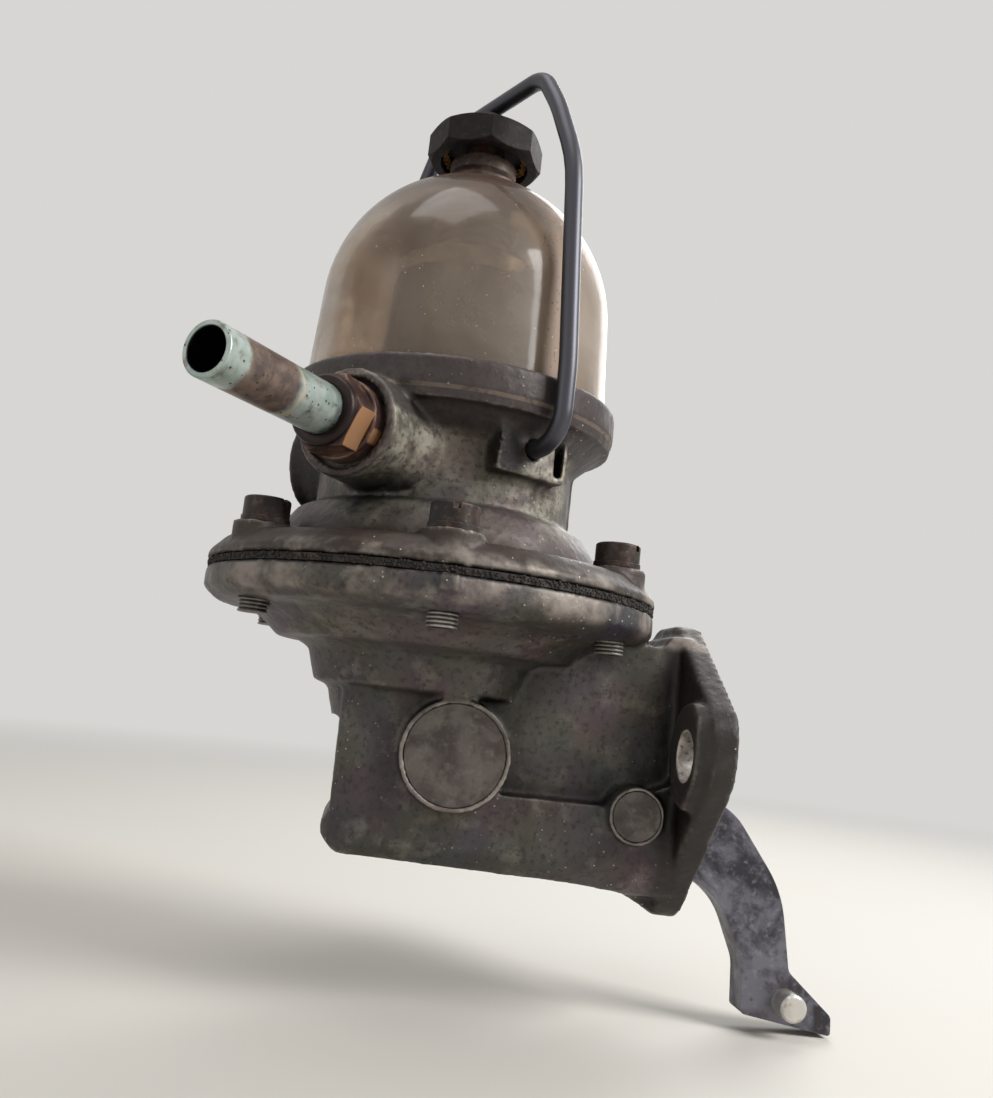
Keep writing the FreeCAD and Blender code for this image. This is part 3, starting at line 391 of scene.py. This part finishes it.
def steel_finishes():
    """Each steel's nodes, name, four tones (skin, stain, rubbed metal, rust) and other settings."""
    c = bpy.context.scene.pump_colours
    return [
        (["flange_screws", "lock_washers", "retainer_screws", "rod_nut"], "screw_steel",
         (paint(44, 32, 27), paint(24, 16, 14), paint(96, 78, 64), c.rust), {"metallic": 0.3}),
        ([], "tail_steel", (paint(150, 146, 140), paint(96, 88, 82), paint(196, 192, 186), c.rust), {}),
        (["bail_wire"], "bail_steel",
         (paint(28, 25, 26), paint(16, 14, 15), paint(74, 70, 72), paint(46, 33, 28)),
         {"rub": 0.2, "metallic": 0.0, "rough": (0.5, 0.65), "specular": 0.18}),
        (["clamp_nut"], "clamp_steel",
         (paint(28, 20, 17), paint(14, 10, 9), paint(66, 54, 45), paint(46, 29, 22)),
         {"rub": 0.3, "metallic": 0.0, "rough": (0.5, 0.7), "specular": 0.2}),
        (["pressure_cup"], "cup_steel",
         (paint(92, 78, 68), paint(46, 36, 32), paint(120, 104, 88), paint(104, 58, 42)),
         {"rub": 0.4, "metallic": 0.35}),
        (["rocker_arm", "link_lever"], "lever_steel",
         (c.lever, paint(52, 50, 56), paint(138, 142, 152), paint(62, 50, 52)),
         {"rub": 0.55, "metallic": 0.5, "grain": 0.0007}),
        (["arm_tip_pin", "pivot_pin", "link_pin", "pull_rod", "upper_plate", "lower_plate", "filter_post",
          "filter_cap", "seal_retainer", "valve_retainer"], "bright_steel",
         (paint(206, 202, 196), paint(170, 166, 160), paint(232, 230, 226), paint(150, 130, 112)),
         {"metallic": 0.7, "rough": (0.22, 0.4)}),
        (["side_plug", "pin_plugs"], "plug_steel",
         (paint(98, 91, 87), paint(68, 60, 57), paint(116, 110, 103), paint(70, 56, 50)),
         {"rub": 0.1, "metallic": 0.4}),
        (["diaphragm_spring", "arm_return_spring", "filter_spring", "inlet_valve_spring",
          "outlet_valve_spring"], "spring_steel",
         (paint(112, 108, 104), paint(72, 66, 62), paint(160, 156, 150), paint(96, 70, 56)), {})]


def rubber(name, base, dust):
    """Old rubber or rubbered cloth with dust and fine cracks."""
    f = Finish(name)
    skin = f.mix(f.patches(0.004, 0.45, 0.7, detail=6.0), base, dust)
    cracks = f.node("ShaderNodeTexVoronoi", {"Vector": f.place, "Scale": 900.0}, feature="DISTANCE_TO_EDGE")
    normal = f.bump(f.level(cracks.outputs["Distance"], 0.0, 0.12), 0.00005, 0.6)
    return f.finish(Base_Color=skin, Roughness=shine(f, 0.6, 0.85, f.noise(0.002)), Normal=normal)


def fibre(name, base, dark):
    """Hard fibre or plastic disc with a fine turned grain."""
    f = Finish(name)
    skin = f.mix(f.patches(0.002, 0.4, 0.65, detail=5.0), base, dark)
    normal = f.bump(f.noise(0.0004, detail=3.0), 0.00003, 0.4)
    return f.finish(Base_Color=skin, Roughness=shine(f, 0.45, 0.7, f.noise(0.001)), Normal=normal)


def gauze(name, wire, gap):
    """Fine woven wire: a grid round the sleeve, in height and angle."""
    f = Finish(name)
    centre = at(0, 0, 0)
    spot = f.node("ShaderNodeSeparateXYZ", {"Vector": f.moved(centre)})
    angle = f.maths("ARCTAN2", spot.outputs["Y"], spot.outputs["X"])
    wires_round, wires_up = 150.0, 10500.0
    around = f.maths("SINE", f.maths("MULTIPLY", angle, wires_round), 0.0)
    upward = f.maths("SINE", f.maths("MULTIPLY", spot.outputs["Z"], wires_up), 0.0)
    weave = f.maths("MAXIMUM", around, upward)
    skin = f.mix(f.both(f.level(weave, 0.1, 0.7), 0.3), gap, wire)
    skin = f.mix(f.patches(0.006, 0.4, 0.7, detail=5.0), skin, bpy.context.scene.pump_colours.stain)
    normal = f.bump(weave, 0.00004, 0.4)
    return f.finish(Base_Color=skin, Roughness=0.6, Metallic=0.2, Normal=normal)


def stained_glass(name):
    """Old glass: brown film in clouds, a dirty foot, rust specks beside the bail and a painted grey
    reflection on the front.
    """
    f = Finish(name)
    c = bpy.context.scene.pump_colours
    cloud = f.patches(0.016, 0.35, 0.7, detail=5.0, warp=1.2, vector=f.moved(scale=(1.0, 1.0, 1.9)))
    tint = f.mix(cloud, paint(222, 208, 192), paint(188, 164, 138))
    normal = f.bump(f.noise(0.006, detail=2.0), 0.0002, 0.25)
    glass = f.finish(Base_Color=tint, Roughness=0.1, IOR=1.45, Transmission_Weight=1.0, Normal=normal)
    foot = f.outside(f.height(36.5, 42.0))
    crown = f.height(68.0, 84.0)
    # Painted reflection: a pale grey patch on the front of the bowl, laid into the film and made more
    # opaque.
    grey = f.near(at(6.0, -30.0, 52.0), 0.012, 0.034)
    right = f.near(at(28.0, -12.0, 56.0), 0.010, 0.030)
    beside = f.both(f.around(at(0, 0, 0) + ray(33.0) * 0.0305, (0, 0, 1), 0.0015, 0.0058),
                    f.outside(f.height(66.0, 78.0)))
    dirt = f.mix(f.patches(0.006, 0.35, 0.65, detail=6.0), c.stain, paint(112, 84, 62))
    # Painted reflection: the grey patch is laid over the stain colours.
    dirt = f.mix(f.both(grey, 0.8), dirt, paint(148, 136, 122))
    dirt = f.mix(right, dirt, paint(150, 136, 122))
    dirt = f.mix(f.both(crown, 0.85), dirt, paint(70, 45, 32))
    dirt = f.mix(beside, dirt, paint(132, 104, 78))
    dirt = f.mix(f.both(foot, f.patches(0.005, 0.25, 0.5)), dirt, paint(52, 34, 28))
    haze = f.maths("ADD", 0.07, f.both(f.patches(0.02, 0.3, 0.75, detail=6.0, warp=0.8), 0.22))
    for mask, share in ((right, 0.42), (grey, 0.28), (crown, 0.5), (foot, 0.6), (beside, 0.6)):
        haze = f.maths("ADD", haze, f.both(mask, share))
    rust = f.both(f.grains(0.0011, 0.16, 0.3), f.maths("ADD", beside, f.both(foot, 0.7), clamp=True),
                  f.patches(0.004, 0.35, 0.55, detail=4.0))
    dust = f.both(f.grains(0.0016, 0.06, 0.12), f.patches(0.012, 0.45, 0.62, detail=4.0))
    dirt = f.mix(rust, dirt, paint(104, 62, 36))
    dirt = f.mix(dust, dirt, paint(214, 206, 192))
    haze = f.maths("MAXIMUM", haze, f.maths("MAXIMUM", rust, dust), clamp=True)
    film = f.node("ShaderNodeBsdfPrincipled", {"Roughness": 0.5, "Normal": normal, "Base Color": dirt})
    both = f.node("ShaderNodeMixShader", {0: haze, 1: f.shader.outputs[0], 2: film.outputs[0]})
    f.put(f.tree.nodes["Material Output"].inputs["Surface"], both.outputs[0])
    return glass


def plated_pipe(name):
    """Zinc-plated tube: pale green-grey, with a burnt brown band and a bore darkened as painted shade."""
    f = Finish(name)
    c = bpy.context.scene.pump_colours
    skin = f.mix(f.patches(0.004, 0.35, 0.65, detail=6.0), c.zinc, paint(182, 192, 186))
    skin = f.mix(f.both(f.patches(0.0025, 0.5, 0.7, detail=6.0), 0.8), skin, paint(112, 108, 96))
    line = f.node("ShaderNodeVectorMath", {0: f.moved(INLET_FOOT), 1: tuple(INLET)}, operation="DOT_PRODUCT")
    reach = f.maths("ADD", line.outputs["Value"], f.both(f.noise(0.004, detail=4.0), 0.004))
    band = f.both(f.level(reach, 0.0585, 0.0600), f.level(reach, 0.0722, 0.0708))
    burnt = f.mix(f.patches(0.003, 0.4, 0.6, detail=6.0), paint(84, 62, 58), paint(122, 98, 84))
    skin = f.mix(f.both(band, 0.9), skin, burnt)
    seam = f.both(f.level(reach, 0.0578, 0.0582), f.level(reach, 0.0590, 0.0584))
    skin = f.mix(f.both(seam, 0.7), skin, paint(206, 186, 160))
    skin = f.mix(f.grains(0.0014, 0.1, 0.2), skin, paint(70, 60, 52))
    # Painted shade: the inside of the bore is painted near black.
    bore_shade = f.both(f.around(INLET_FOOT, INLET, 0.00350, 0.00375), f.patches(0.002, 0.0, 0.2))
    skin = f.mix(bore_shade, skin, paint(8, 6, 6))
    root = f.level(line.outputs["Value"], 0.0480, 0.0462)
    skin = f.mix(f.both(root, f.patches(0.002, 0.2, 0.6), 0.8), skin, c.grime_and_shade)
    normal = f.bump(f.noise(0.0008, detail=4.0), 0.00005, 0.5)
    shade = shine(f, 0.28, 0.5, f.noise(0.003))
    return f.finish(Base_Color=skin, Roughness=shade, Metallic=0.55, Normal=normal)


def tarnished_brass(name):
    """Brass gone purple-brown, rubbed bright on its edges, lightened on the one flat that faces right, front
    and down, with painted shade in its corners.
    """
    f = Finish(name)
    c = bpy.context.scene.pump_colours
    skin = f.mix(f.patches(0.004, 0.35, 0.6, detail=6.0), paint(104, 82, 72), paint(66, 46, 46))
    bright = f.both(f.edges(0.0006), f.patches(0.005, 0.3, 0.6, detail=4.0), 0.8)
    skin = f.mix(bright, skin, c.brass)
    skin = f.mix(f.both(f.patches(0.003, 0.55, 0.7, detail=5.0), 0.7), skin, paint(142, 108, 80))
    # Painted shade: corners and crevices are darkened in the dirt colour.
    skin = f.mix(f.corners(0.002), skin, c.grime_and_shade)
    collar = f.both(f.along(INLET_FOOT, INLET, 0.0441, 0.0446), f.around(INLET_FOOT, INLET, 0.020, 0.021))
    skin = f.mix(f.both(collar, 0.95), skin, paint(34, 23, 21))
    # One flat, picked by the way it faces (right, front and down), is painted bright brass.
    facing = f.node("ShaderNodeVectorMath", {0: f.node("ShaderNodeNewGeometry").outputs["Normal"],
                                             1: (0.770, -0.491, -0.407)}, operation="DOT_PRODUCT")
    flat = f.both(f.level(facing.outputs["Value"], 0.975, 0.99), f.patches(0.003, 0.1, 0.35),
                  f.outside(collar))
    skin = f.mix(flat, skin, c.brass)
    normal = f.bump(f.noise(0.0007, detail=4.0), 0.00005, 0.5, soft=f.round_edges(0.0004))
    shade = shine(f, 0.28, 0.5, f.noise(0.002))
    return f.finish(Base_Color=skin, Roughness=shade, Metallic=0.6, Normal=normal)


def dirt_lumps(name, base, pale):
    """Crumbly dirt in two tones."""
    f = Finish(name)
    skin = f.mix(f.patches(0.0012, 0.4, 0.6, detail=4.0), base, pale)
    normal = f.bump(f.noise(0.0003, detail=4.0), 0.00005, 0.8)
    return f.finish(Base_Color=skin, Roughness=0.75, Normal=normal)


def wear_finish(names, material):
    """Give CAD nodes one material."""
    for name in names:
        mesh = NODES[name].data
        mesh.materials.clear()
        mesh.materials.append(material)


def merged_copy(node, name):
    """Copy of a node's mesh with its doubles merged."""
    source = NODES[node]
    mesh = source.data.copy()
    piece = bpy.data.objects.new(name, mesh)
    bpy.context.scene.collection.objects.link(piece)
    work = bmesh.new()
    work.from_mesh(mesh)
    bmesh.ops.remove_doubles(work, verts=work.verts, dist=1e-7)
    work.to_mesh(mesh)
    work.free()
    return piece


def applied(piece):
    """Bake a piece's modifiers into its mesh."""
    graph = bpy.context.evaluated_depsgraph_get()
    mesh = bpy.data.meshes.new_from_object(piece.evaluated_get(graph))
    piece.modifiers.clear()
    old = piece.data
    piece.data = mesh
    bpy.data.meshes.remove(old)
    return piece


def settled(piece, body, nodes=()):
    """Smooth shading, body and replaced nodes of a finished piece."""
    for face in piece.data.polygons:
        face.use_smooth = True
    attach(piece, body)
    if nodes:
        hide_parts(*nodes)
    return piece


def worn_casting(node, name, sink):
    """Node remeshed so that its edges round off, then pitted like a cast skin.

    Sink is how far the skin moves inwards before it is pitted, as a share of the pits' depth.
    """
    sizes = bpy.context.scene.pump_sizes
    piece = merged_copy(node, name)
    remesh = piece.modifiers.new("Skin", "REMESH")
    remesh.mode = "VOXEL"
    remesh.voxel_size = sizes.voxel
    smooth = piece.modifiers.new("Round", "SMOOTH")
    smooth.factor = 0.5
    smooth.iterations = 2
    texture = bpy.data.textures.new(name + "_grain", "CLOUDS")
    texture.noise_scale = sizes.grain * 1.6
    texture.noise_depth = 2
    pits = piece.modifiers.new("Grain", "DISPLACE")
    pits.texture = texture
    pits.texture_coords = "LOCAL"
    pits.strength = sizes.skin
    pits.mid_level = sink
    applied(piece)
    thin = piece.modifiers.new("Thin", "DECIMATE")
    triangles = sum(len(face.vertices) - 2 for face in piece.data.polygons)
    thin.ratio = min(1.0, MOST_TRIANGLES / triangles)
    return applied(piece)


class Growth:
    """A geometry node tree while it is being built, and the object it is tried on."""

    def __init__(self, name, mesh):
        self.piece = bpy.data.objects.new(name, mesh)
        bpy.context.scene.collection.objects.link(self.piece)
        self.tree = bpy.data.node_groups.new(name, "GeometryNodeTree")
        self.values = {}
        self.tree.interface.new_socket(name="Geometry", in_out="OUTPUT", socket_type="NodeSocketGeometry")
        self.tree.interface.new_socket(name="Geometry", in_out="INPUT", socket_type="NodeSocketGeometry")
        self.start = self.tree.nodes.new("NodeGroupInput")
        self.end = self.tree.nodes.new("NodeGroupOutput")

    def input(self, label, kind, value):
        """Named input of the tree, with its value."""
        socket = self.tree.interface.new_socket(name=label, in_out="INPUT", socket_type="NodeSocket" + kind)
        self.values[socket.identifier] = value
        return self.start.outputs[label]

    def node(self, kind, inputs=None, **settings):
        """Add a node with its settings and inputs."""
        made = self.tree.nodes.new(kind)
        for key, value in settings.items():
            setattr(made, key, value)
        for key, value in (inputs or {}).items():
            if isinstance(value, bpy.types.NodeSocket):
                self.tree.links.new(value, made.inputs[key])
            else:
                made.inputs[key].default_value = value
        return made

    def baked(self, geometry, material):
        """Close the tree, set its inputs and bake the piece."""
        paint_input = self.input("Material", "Material", material)
        last = self.node("GeometryNodeSetMaterial", {"Geometry": geometry, "Material": paint_input})
        self.tree.links.new(last.outputs["Geometry"], self.end.inputs["Geometry"])
        grown = self.piece.modifiers.new("Growth", "NODES")
        grown.node_group = self.tree
        for identifier, value in self.values.items():
            grown[identifier] = value
        return applied(self.piece)


def points_mesh(name, points, edges=(), faces=()):
    """Mesh from points."""
    mesh = bpy.data.meshes.new(name)
    mesh.from_pydata([tuple(p) for p in points], list(edges), list(faces))
    return mesh


def ring_strip(name, centre, inner, outer, low, high, steps=96):
    """Band between two circles about the pump's axis, radii and heights in millimetres."""
    points = []
    faces = []
    for i in range(steps):
        angle = 2 * math.pi * i / steps
        for radius, height in ((inner, low), (outer, high)):
            points.append(centre + Vector((radius * math.cos(angle), radius * math.sin(angle), height)) * MM)
        a, b = 2 * i, (2 * i + 2) % (2 * steps)
        faces.append((a, b, b + 1, a + 1))
    return points_mesh(name, points, faces=faces)


def lumps(name, base, count, size, material):
    """Lumps of dirt strewn on a base mesh, baked into one mesh."""
    g = Growth(name, base)
    area = sum(face.area for face in base.polygons)
    density = g.input("Density", "Float", count / area)
    seed = g.input("Seed", "Int", bpy.context.scene.pump_sizes.seed)
    largest = g.input("Lump size", "Float", size)
    strewn = g.node("GeometryNodeDistributePointsOnFaces", {
        "Mesh": g.start.outputs["Geometry"], "Density": density, "Seed": seed})
    lump = g.node("GeometryNodeMeshIcoSphere", {"Radius": 1.0, "Subdivisions": 1})
    part = g.node("FunctionNodeRandomValue", {2: 0.3, 3: 1.0, "Seed": seed}, data_type="FLOAT")
    scale = g.node("ShaderNodeMath", {0: part.outputs[1], 1: largest}, operation="MULTIPLY")
    placed = g.node("GeometryNodeInstanceOnPoints", {
        "Points": strewn.outputs["Points"], "Instance": lump.outputs["Mesh"],
        "Rotation": strewn.outputs["Rotation"], "Scale": scale.outputs[0]})
    whole = g.node("GeometryNodeRealizeInstances", {"Geometry": placed.outputs["Instances"]})
    return g.baked(whole.outputs["Geometry"], material)


def screw_threads(material):
    """Thread crests on the six screw tails."""
    screws, circle_r = 6, 38.0
    crests, first_crest, pitch = 4, 6.9, 0.7
    points = []
    for i in range(screws):
        foot = at(0, 0, 0) + ray(360 / screws * i) * (circle_r * MM)
        points += [foot + Vector((0, 0, -(first_crest + pitch * k) * MM)) for k in range(crests)]
    g = Growth("screw_threads", points_mesh("screw_threads", points))
    radius = g.input("Thread radius", "Float", 0.0025)
    crest = g.input("Crest", "Float", 0.00022)
    around = g.node("GeometryNodeCurvePrimitiveCircle", {"Resolution": 32, "Radius": radius})
    section = g.node("GeometryNodeCurvePrimitiveCircle", {"Resolution": 8, "Radius": crest})
    ridge = g.node("GeometryNodeCurveToMesh", {
        "Curve": around.outputs[0], "Profile Curve": section.outputs[0]})
    placed = g.node("GeometryNodeInstanceOnPoints", {
        "Points": g.start.outputs["Geometry"], "Instance": ridge.outputs["Mesh"]})
    whole = g.node("GeometryNodeRealizeInstances", {"Geometry": placed.outputs["Instances"]})
    return g.baked(whole.outputs["Geometry"], material)


def bail_path():
    """Points along the bail's centre line, with its corners rounded."""
    half = [at(0, 0, z) + BAIL * (a * MM) for a, z, r in BAIL_PATH]
    other = [at(0, 0, z) - BAIL * (a * MM) for a, z, r in BAIL_PATH]
    corners = list(zip(half, [r * MM for a, z, r in BAIL_PATH]))
    corners += list(zip(other[::-1], [r * MM for a, z, r in BAIL_PATH[::-1]]))
    points = [corners[0][0]]
    for i in range(1, len(corners) - 1):
        here, radius = corners[i]
        before = (corners[i - 1][0] - here).normalized()
        after = (corners[i + 1][0] - here).normalized()
        half_angle = before.angle(after) / 2
        middle = (before + after).normalized()
        centre = here + middle * (radius / math.sin(half_angle))
        first = here + before * (radius / math.tan(half_angle)) - centre
        last = here + after * (radius / math.tan(half_angle)) - centre
        turn = first.angle(last)
        steps = max(3, int(turn / math.radians(6)))
        for k in range(steps + 1):
            share = k / steps
            part = first * math.sin((1 - share) * turn) + last * math.sin(share * turn)
            points.append(centre + part / math.sin(turn))
    points.append(corners[-1][0])
    return points


def bent_wire(material):
    """Bail of round wire swept along its path."""
    path = bail_path()
    g = Growth("bail_rod", points_mesh("bail_rod", path, [(i, i + 1) for i in range(len(path) - 1)]))
    radius = g.input("Wire radius", "Float", 0.001745)
    curve = g.node("GeometryNodeMeshToCurve", {"Mesh": g.start.outputs["Geometry"]})
    section = g.node("GeometryNodeCurvePrimitiveCircle", {"Resolution": 24, "Radius": radius})
    wire = g.node("GeometryNodeCurveToMesh", {
        "Curve": curve.outputs["Curve"], "Profile Curve": section.outputs[0], "Fill Caps": True})
    return g.baked(wire.outputs["Mesh"], material)


class PUMP_OT_stage(bpy.types.Operator):
    """Floor, lamps, world and camera"""
    bl_idname = "pump.stage"
    bl_label = "Studio Stage"

    def execute(self, context):
        scene = context.scene
        colours = scene.pump_colours
        scene.view_settings.view_transform = "Standard"
        floor_z = START[0].z - 0.0006
        sky_colour = (1.0, 0.99, 0.965, 1.0)
        sky_light = 0.68
        room_light = 0.21
        mesh = bpy.data.meshes.new("floor")
        half = 3.0
        mesh.from_pydata([(-half, -half, floor_z), (half, -half, floor_z), (half, half, floor_z),
                          (-half, half, floor_z)], [], [(0, 1, 2, 3)])
        floor = bpy.data.objects.new("floor", mesh)
        scene.collection.objects.link(floor)
        f = Finish("floor_paper")
        tone = f.mix(f.patches(0.2, 0.35, 0.7, detail=5.0), colours.floor, paint(220, 215, 206))
        creases = f.bump(f.noise(0.004), 0.0001, 0.2)
        mesh.materials.append(f.finish(Base_Color=tone, Roughness=0.7, Normal=creases))
        glow = f.node("ShaderNodeEmission", {"Color": sky_colour, "Strength": sky_light})
        far = f.outside(f.near(at(0, 0, 0), 0.22, 0.9))
        fade = f.node("ShaderNodeMixShader", {0: far, 1: f.shader.outputs[0], 2: glow.outputs[0]})
        f.put(f.tree.nodes["Material Output"].inputs["Surface"], fade.outputs[0])

        world = bpy.data.worlds.new("studio")
        scene.world = world
        world.use_nodes = True
        tree = world.node_tree
        sky = tree.nodes["Background"]
        path = tree.nodes.new("ShaderNodeLightPath")
        seen = path.outputs["Is Camera Ray"]
        for name in ("Is Glossy Ray", "Is Transmission Ray"):
            either = tree.nodes.new("ShaderNodeMath")
            either.operation = "MAXIMUM"
            tree.links.new(seen, either.inputs[0])
            tree.links.new(path.outputs[name], either.inputs[1])
            seen = either.outputs[0]
        strength = tree.nodes.new("ShaderNodeMapRange")
        strength.inputs["To Min"].default_value = room_light
        strength.inputs["To Max"].default_value = sky_light
        tree.links.new(seen, strength.inputs["Value"])
        tree.links.new(strength.outputs["Result"], sky.inputs["Strength"])
        sky.inputs["Color"].default_value = sky_colour

        middle = at(8.0, 0.0, 15.0)
        for name, place, size, power in (
                ("key", (0.56, -0.30, 0.42), 0.36, 1.25), ("fill", (-0.60, -0.42, 0.16), 0.5, 0.10),
                ("rim", (0.30, 0.50, 0.40), 0.4, 0.5), ("top", (-0.14, -0.10, 0.62), 0.35, 0.22)):
            lamp = bpy.data.lights.new(name, "AREA")
            lamp.size = size
            lamp.energy = scene.pump_sizes.light * power * 4.0
            thing = bpy.data.objects.new(name, lamp)
            scene.collection.objects.link(thing)
            thing.location = middle + Vector(place)
            thing.rotation_euler = (-Vector(place)).to_track_quat("-Z", "Y").to_euler()

        azimuth, elevation, roll = math.radians(-6.480), math.radians(-8.478), math.radians(6.422)
        back = Vector((math.sin(azimuth) * math.cos(elevation), -math.cos(azimuth) * math.cos(elevation),
                       math.sin(elevation)))
        right = (-back).cross(Vector((0, 0, 1))).normalized()
        up = right.cross(-back)
        across = right * math.cos(roll) + up * math.sin(roll)
        along = up * math.cos(roll) - right * math.sin(roll)
        camera = bpy.data.cameras.new("camera")
        camera.sensor_width = 36.0
        camera.lens = 34.08
        camera.clip_start = 0.01
        camera.clip_end = 20.0
        thing = bpy.data.objects.new("camera", camera)
        scene.collection.objects.link(thing)
        place = Matrix((across, along, back)).transposed().to_4x4()
        place.translation = Vector((-0.06588, -0.20992, 0.00530))
        thing.matrix_world = place
        scene.camera = thing
        return {"FINISHED"}


class PUMP_OT_finishes(bpy.types.Operator):
    """Materials of the pieces that keep their CAD shape"""
    bl_idname = "pump.finishes"
    bl_label = "Finishes"

    def execute(self, context):
        c = context.scene.pump_colours
        wear_finish(["upper_body"], cast_metal("upper_casting", c.flange, paint(54, 43, 38),
                                               paint(122, 113, 101), c.wear_and_highlight, valve_body_marks()))
        wear_finish(["lower_body"], cast_metal("lower_casting", c.housing, paint(46, 38, 36),
                                               paint(106, 100, 91), c.wear_and_highlight, housing_marks()))
        wear_finish(["diaphragm", "oil_seal", "bowl_gasket"], rubber("black_rubber", paint(34, 30, 28),
                                                                     paint(70, 60, 52)))
        for nodes, name, tones, settings in steel_finishes():
            wear_finish(nodes, old_steel(name, *tones, **settings))
        wear_finish(["inlet_valve_seat", "inlet_valve_cage", "outlet_valve_seat", "outlet_valve_cage",
                     "union_nut", "ferrule"], tarnished_brass("brass"))
        wear_finish(["inlet_valve_disc", "outlet_valve_disc"], fibre("valve_disc", paint(92, 60, 40),
                                                                     paint(58, 38, 28)))
        wear_finish(["filter_screen"], gauze("gauze", paint(128, 112, 92), paint(70, 55, 43)))
        wear_finish(["glass_bowl"], stained_glass("bowl_glass"))
        wear_finish(["fuel_pipe"], plated_pipe("zinc_pipe"))
        return {"FINISHED"}


class PUMP_OT_castings(bpy.types.Operator):
    """Both castings with rounded edges and a pitted skin"""
    bl_idname = "pump.castings"
    bl_label = "Worn Castings"

    def execute(self, context):
        for node, name, sink in (("upper_body", "upper_casting", 1.0), ("lower_body", "lower_casting", 0.9)):
            piece = worn_casting(node, name, sink)
            if len(piece.data.polygons) < 1000:
                raise RuntimeError("the casting's skin came out empty")
            settled(piece, "pump_body", [node])
        return {"FINISHED"}


class PUMP_OT_wire(bpy.types.Operator):
    """Bail wire and the thread crests on the screw tails"""
    bl_idname = "pump.wire"
    bl_label = "Wire and Threads"

    def execute(self, context):
        settled(bent_wire(bpy.data.materials["bail_steel"]), "bail", ["bail_wire"])
        settled(screw_threads(bpy.data.materials["tail_steel"]), "pump_body")
        return {"FINISHED"}


class PUMP_OT_dirt(bpy.types.Operator):
    """Black crust in the diaphragm seam, grit in the clamp nut and rust at the bowl's foot"""
    bl_idname = "pump.dirt"
    bl_label = "Dirt"

    def execute(self, context):
        size = context.scene.pump_sizes.lump
        axis = at(0, 0, 0)
        crust = dirt_lumps("seam_dirt", paint(16, 11, 10), paint(44, 32, 28))
        grit = dirt_lumps("nut_grit", paint(112, 78, 40), paint(168, 128, 72))
        seam = ring_strip("seam_crust", axis, SEAM_CRUST_R, SEAM_CRUST_R, -SEAM_CRUST_Z, SEAM_CRUST_Z)
        settled(lumps("seam_crust", seam, 1500, size, crust), "pump_body")
        hollow = ring_strip("nut_grit", axis, *NUT_HOLLOW_R, *NUT_HOLLOW_Z)
        settled(lumps("nut_grit", hollow, 500, size, grit), "clamp_nut")
        foot = ring_strip("bowl_crust", axis, BOWL_FOOT_R, BOWL_FOOT_R, *BOWL_FOOT_Z)
        settled(lumps("bowl_crust", foot, 700, size * 0.7, crust), "pump_body")
        return {"FINISHED"}


class PUMP_PT_panel(bpy.types.Panel):
    """Buttons and settings for the pump"""
    bl_label = "Fuel Pump"
    bl_space_type = "VIEW_3D"
    bl_region_type = "UI"
    bl_category = "Fuel Pump"

    def draw(self, context):
        layout = self.layout
        for group in (context.scene.pump_sizes, context.scene.pump_colours):
            for key in group.bl_rna.properties.keys():
                if key not in {"rna_type", "name"}:
                    layout.prop(group, key)
        for step in STEPS:
            layout.operator(step.bl_idname)


STEPS = (PUMP_OT_stage, PUMP_OT_finishes, PUMP_OT_castings, PUMP_OT_wire, PUMP_OT_dirt)
CLASSES = (PumpColours, PumpSizes) + STEPS + (PUMP_PT_panel,)


def register():
    for entry in CLASSES:
        bpy.utils.register_class(entry)
    bpy.types.Scene.pump_colours = PointerProperty(type=PumpColours)
    bpy.types.Scene.pump_sizes = PointerProperty(type=PumpSizes)


def unregister():
    del bpy.types.Scene.pump_sizes
    del bpy.types.Scene.pump_colours
    for entry in reversed(CLASSES):
        bpy.utils.unregister_class(entry)


def main():
    """Register the classes and build every piece."""
    register()
    for step in STEPS:
        getattr(bpy.ops.pump, step.bl_idname.split(".")[1])()


if __name__ == "__main__":
    main()
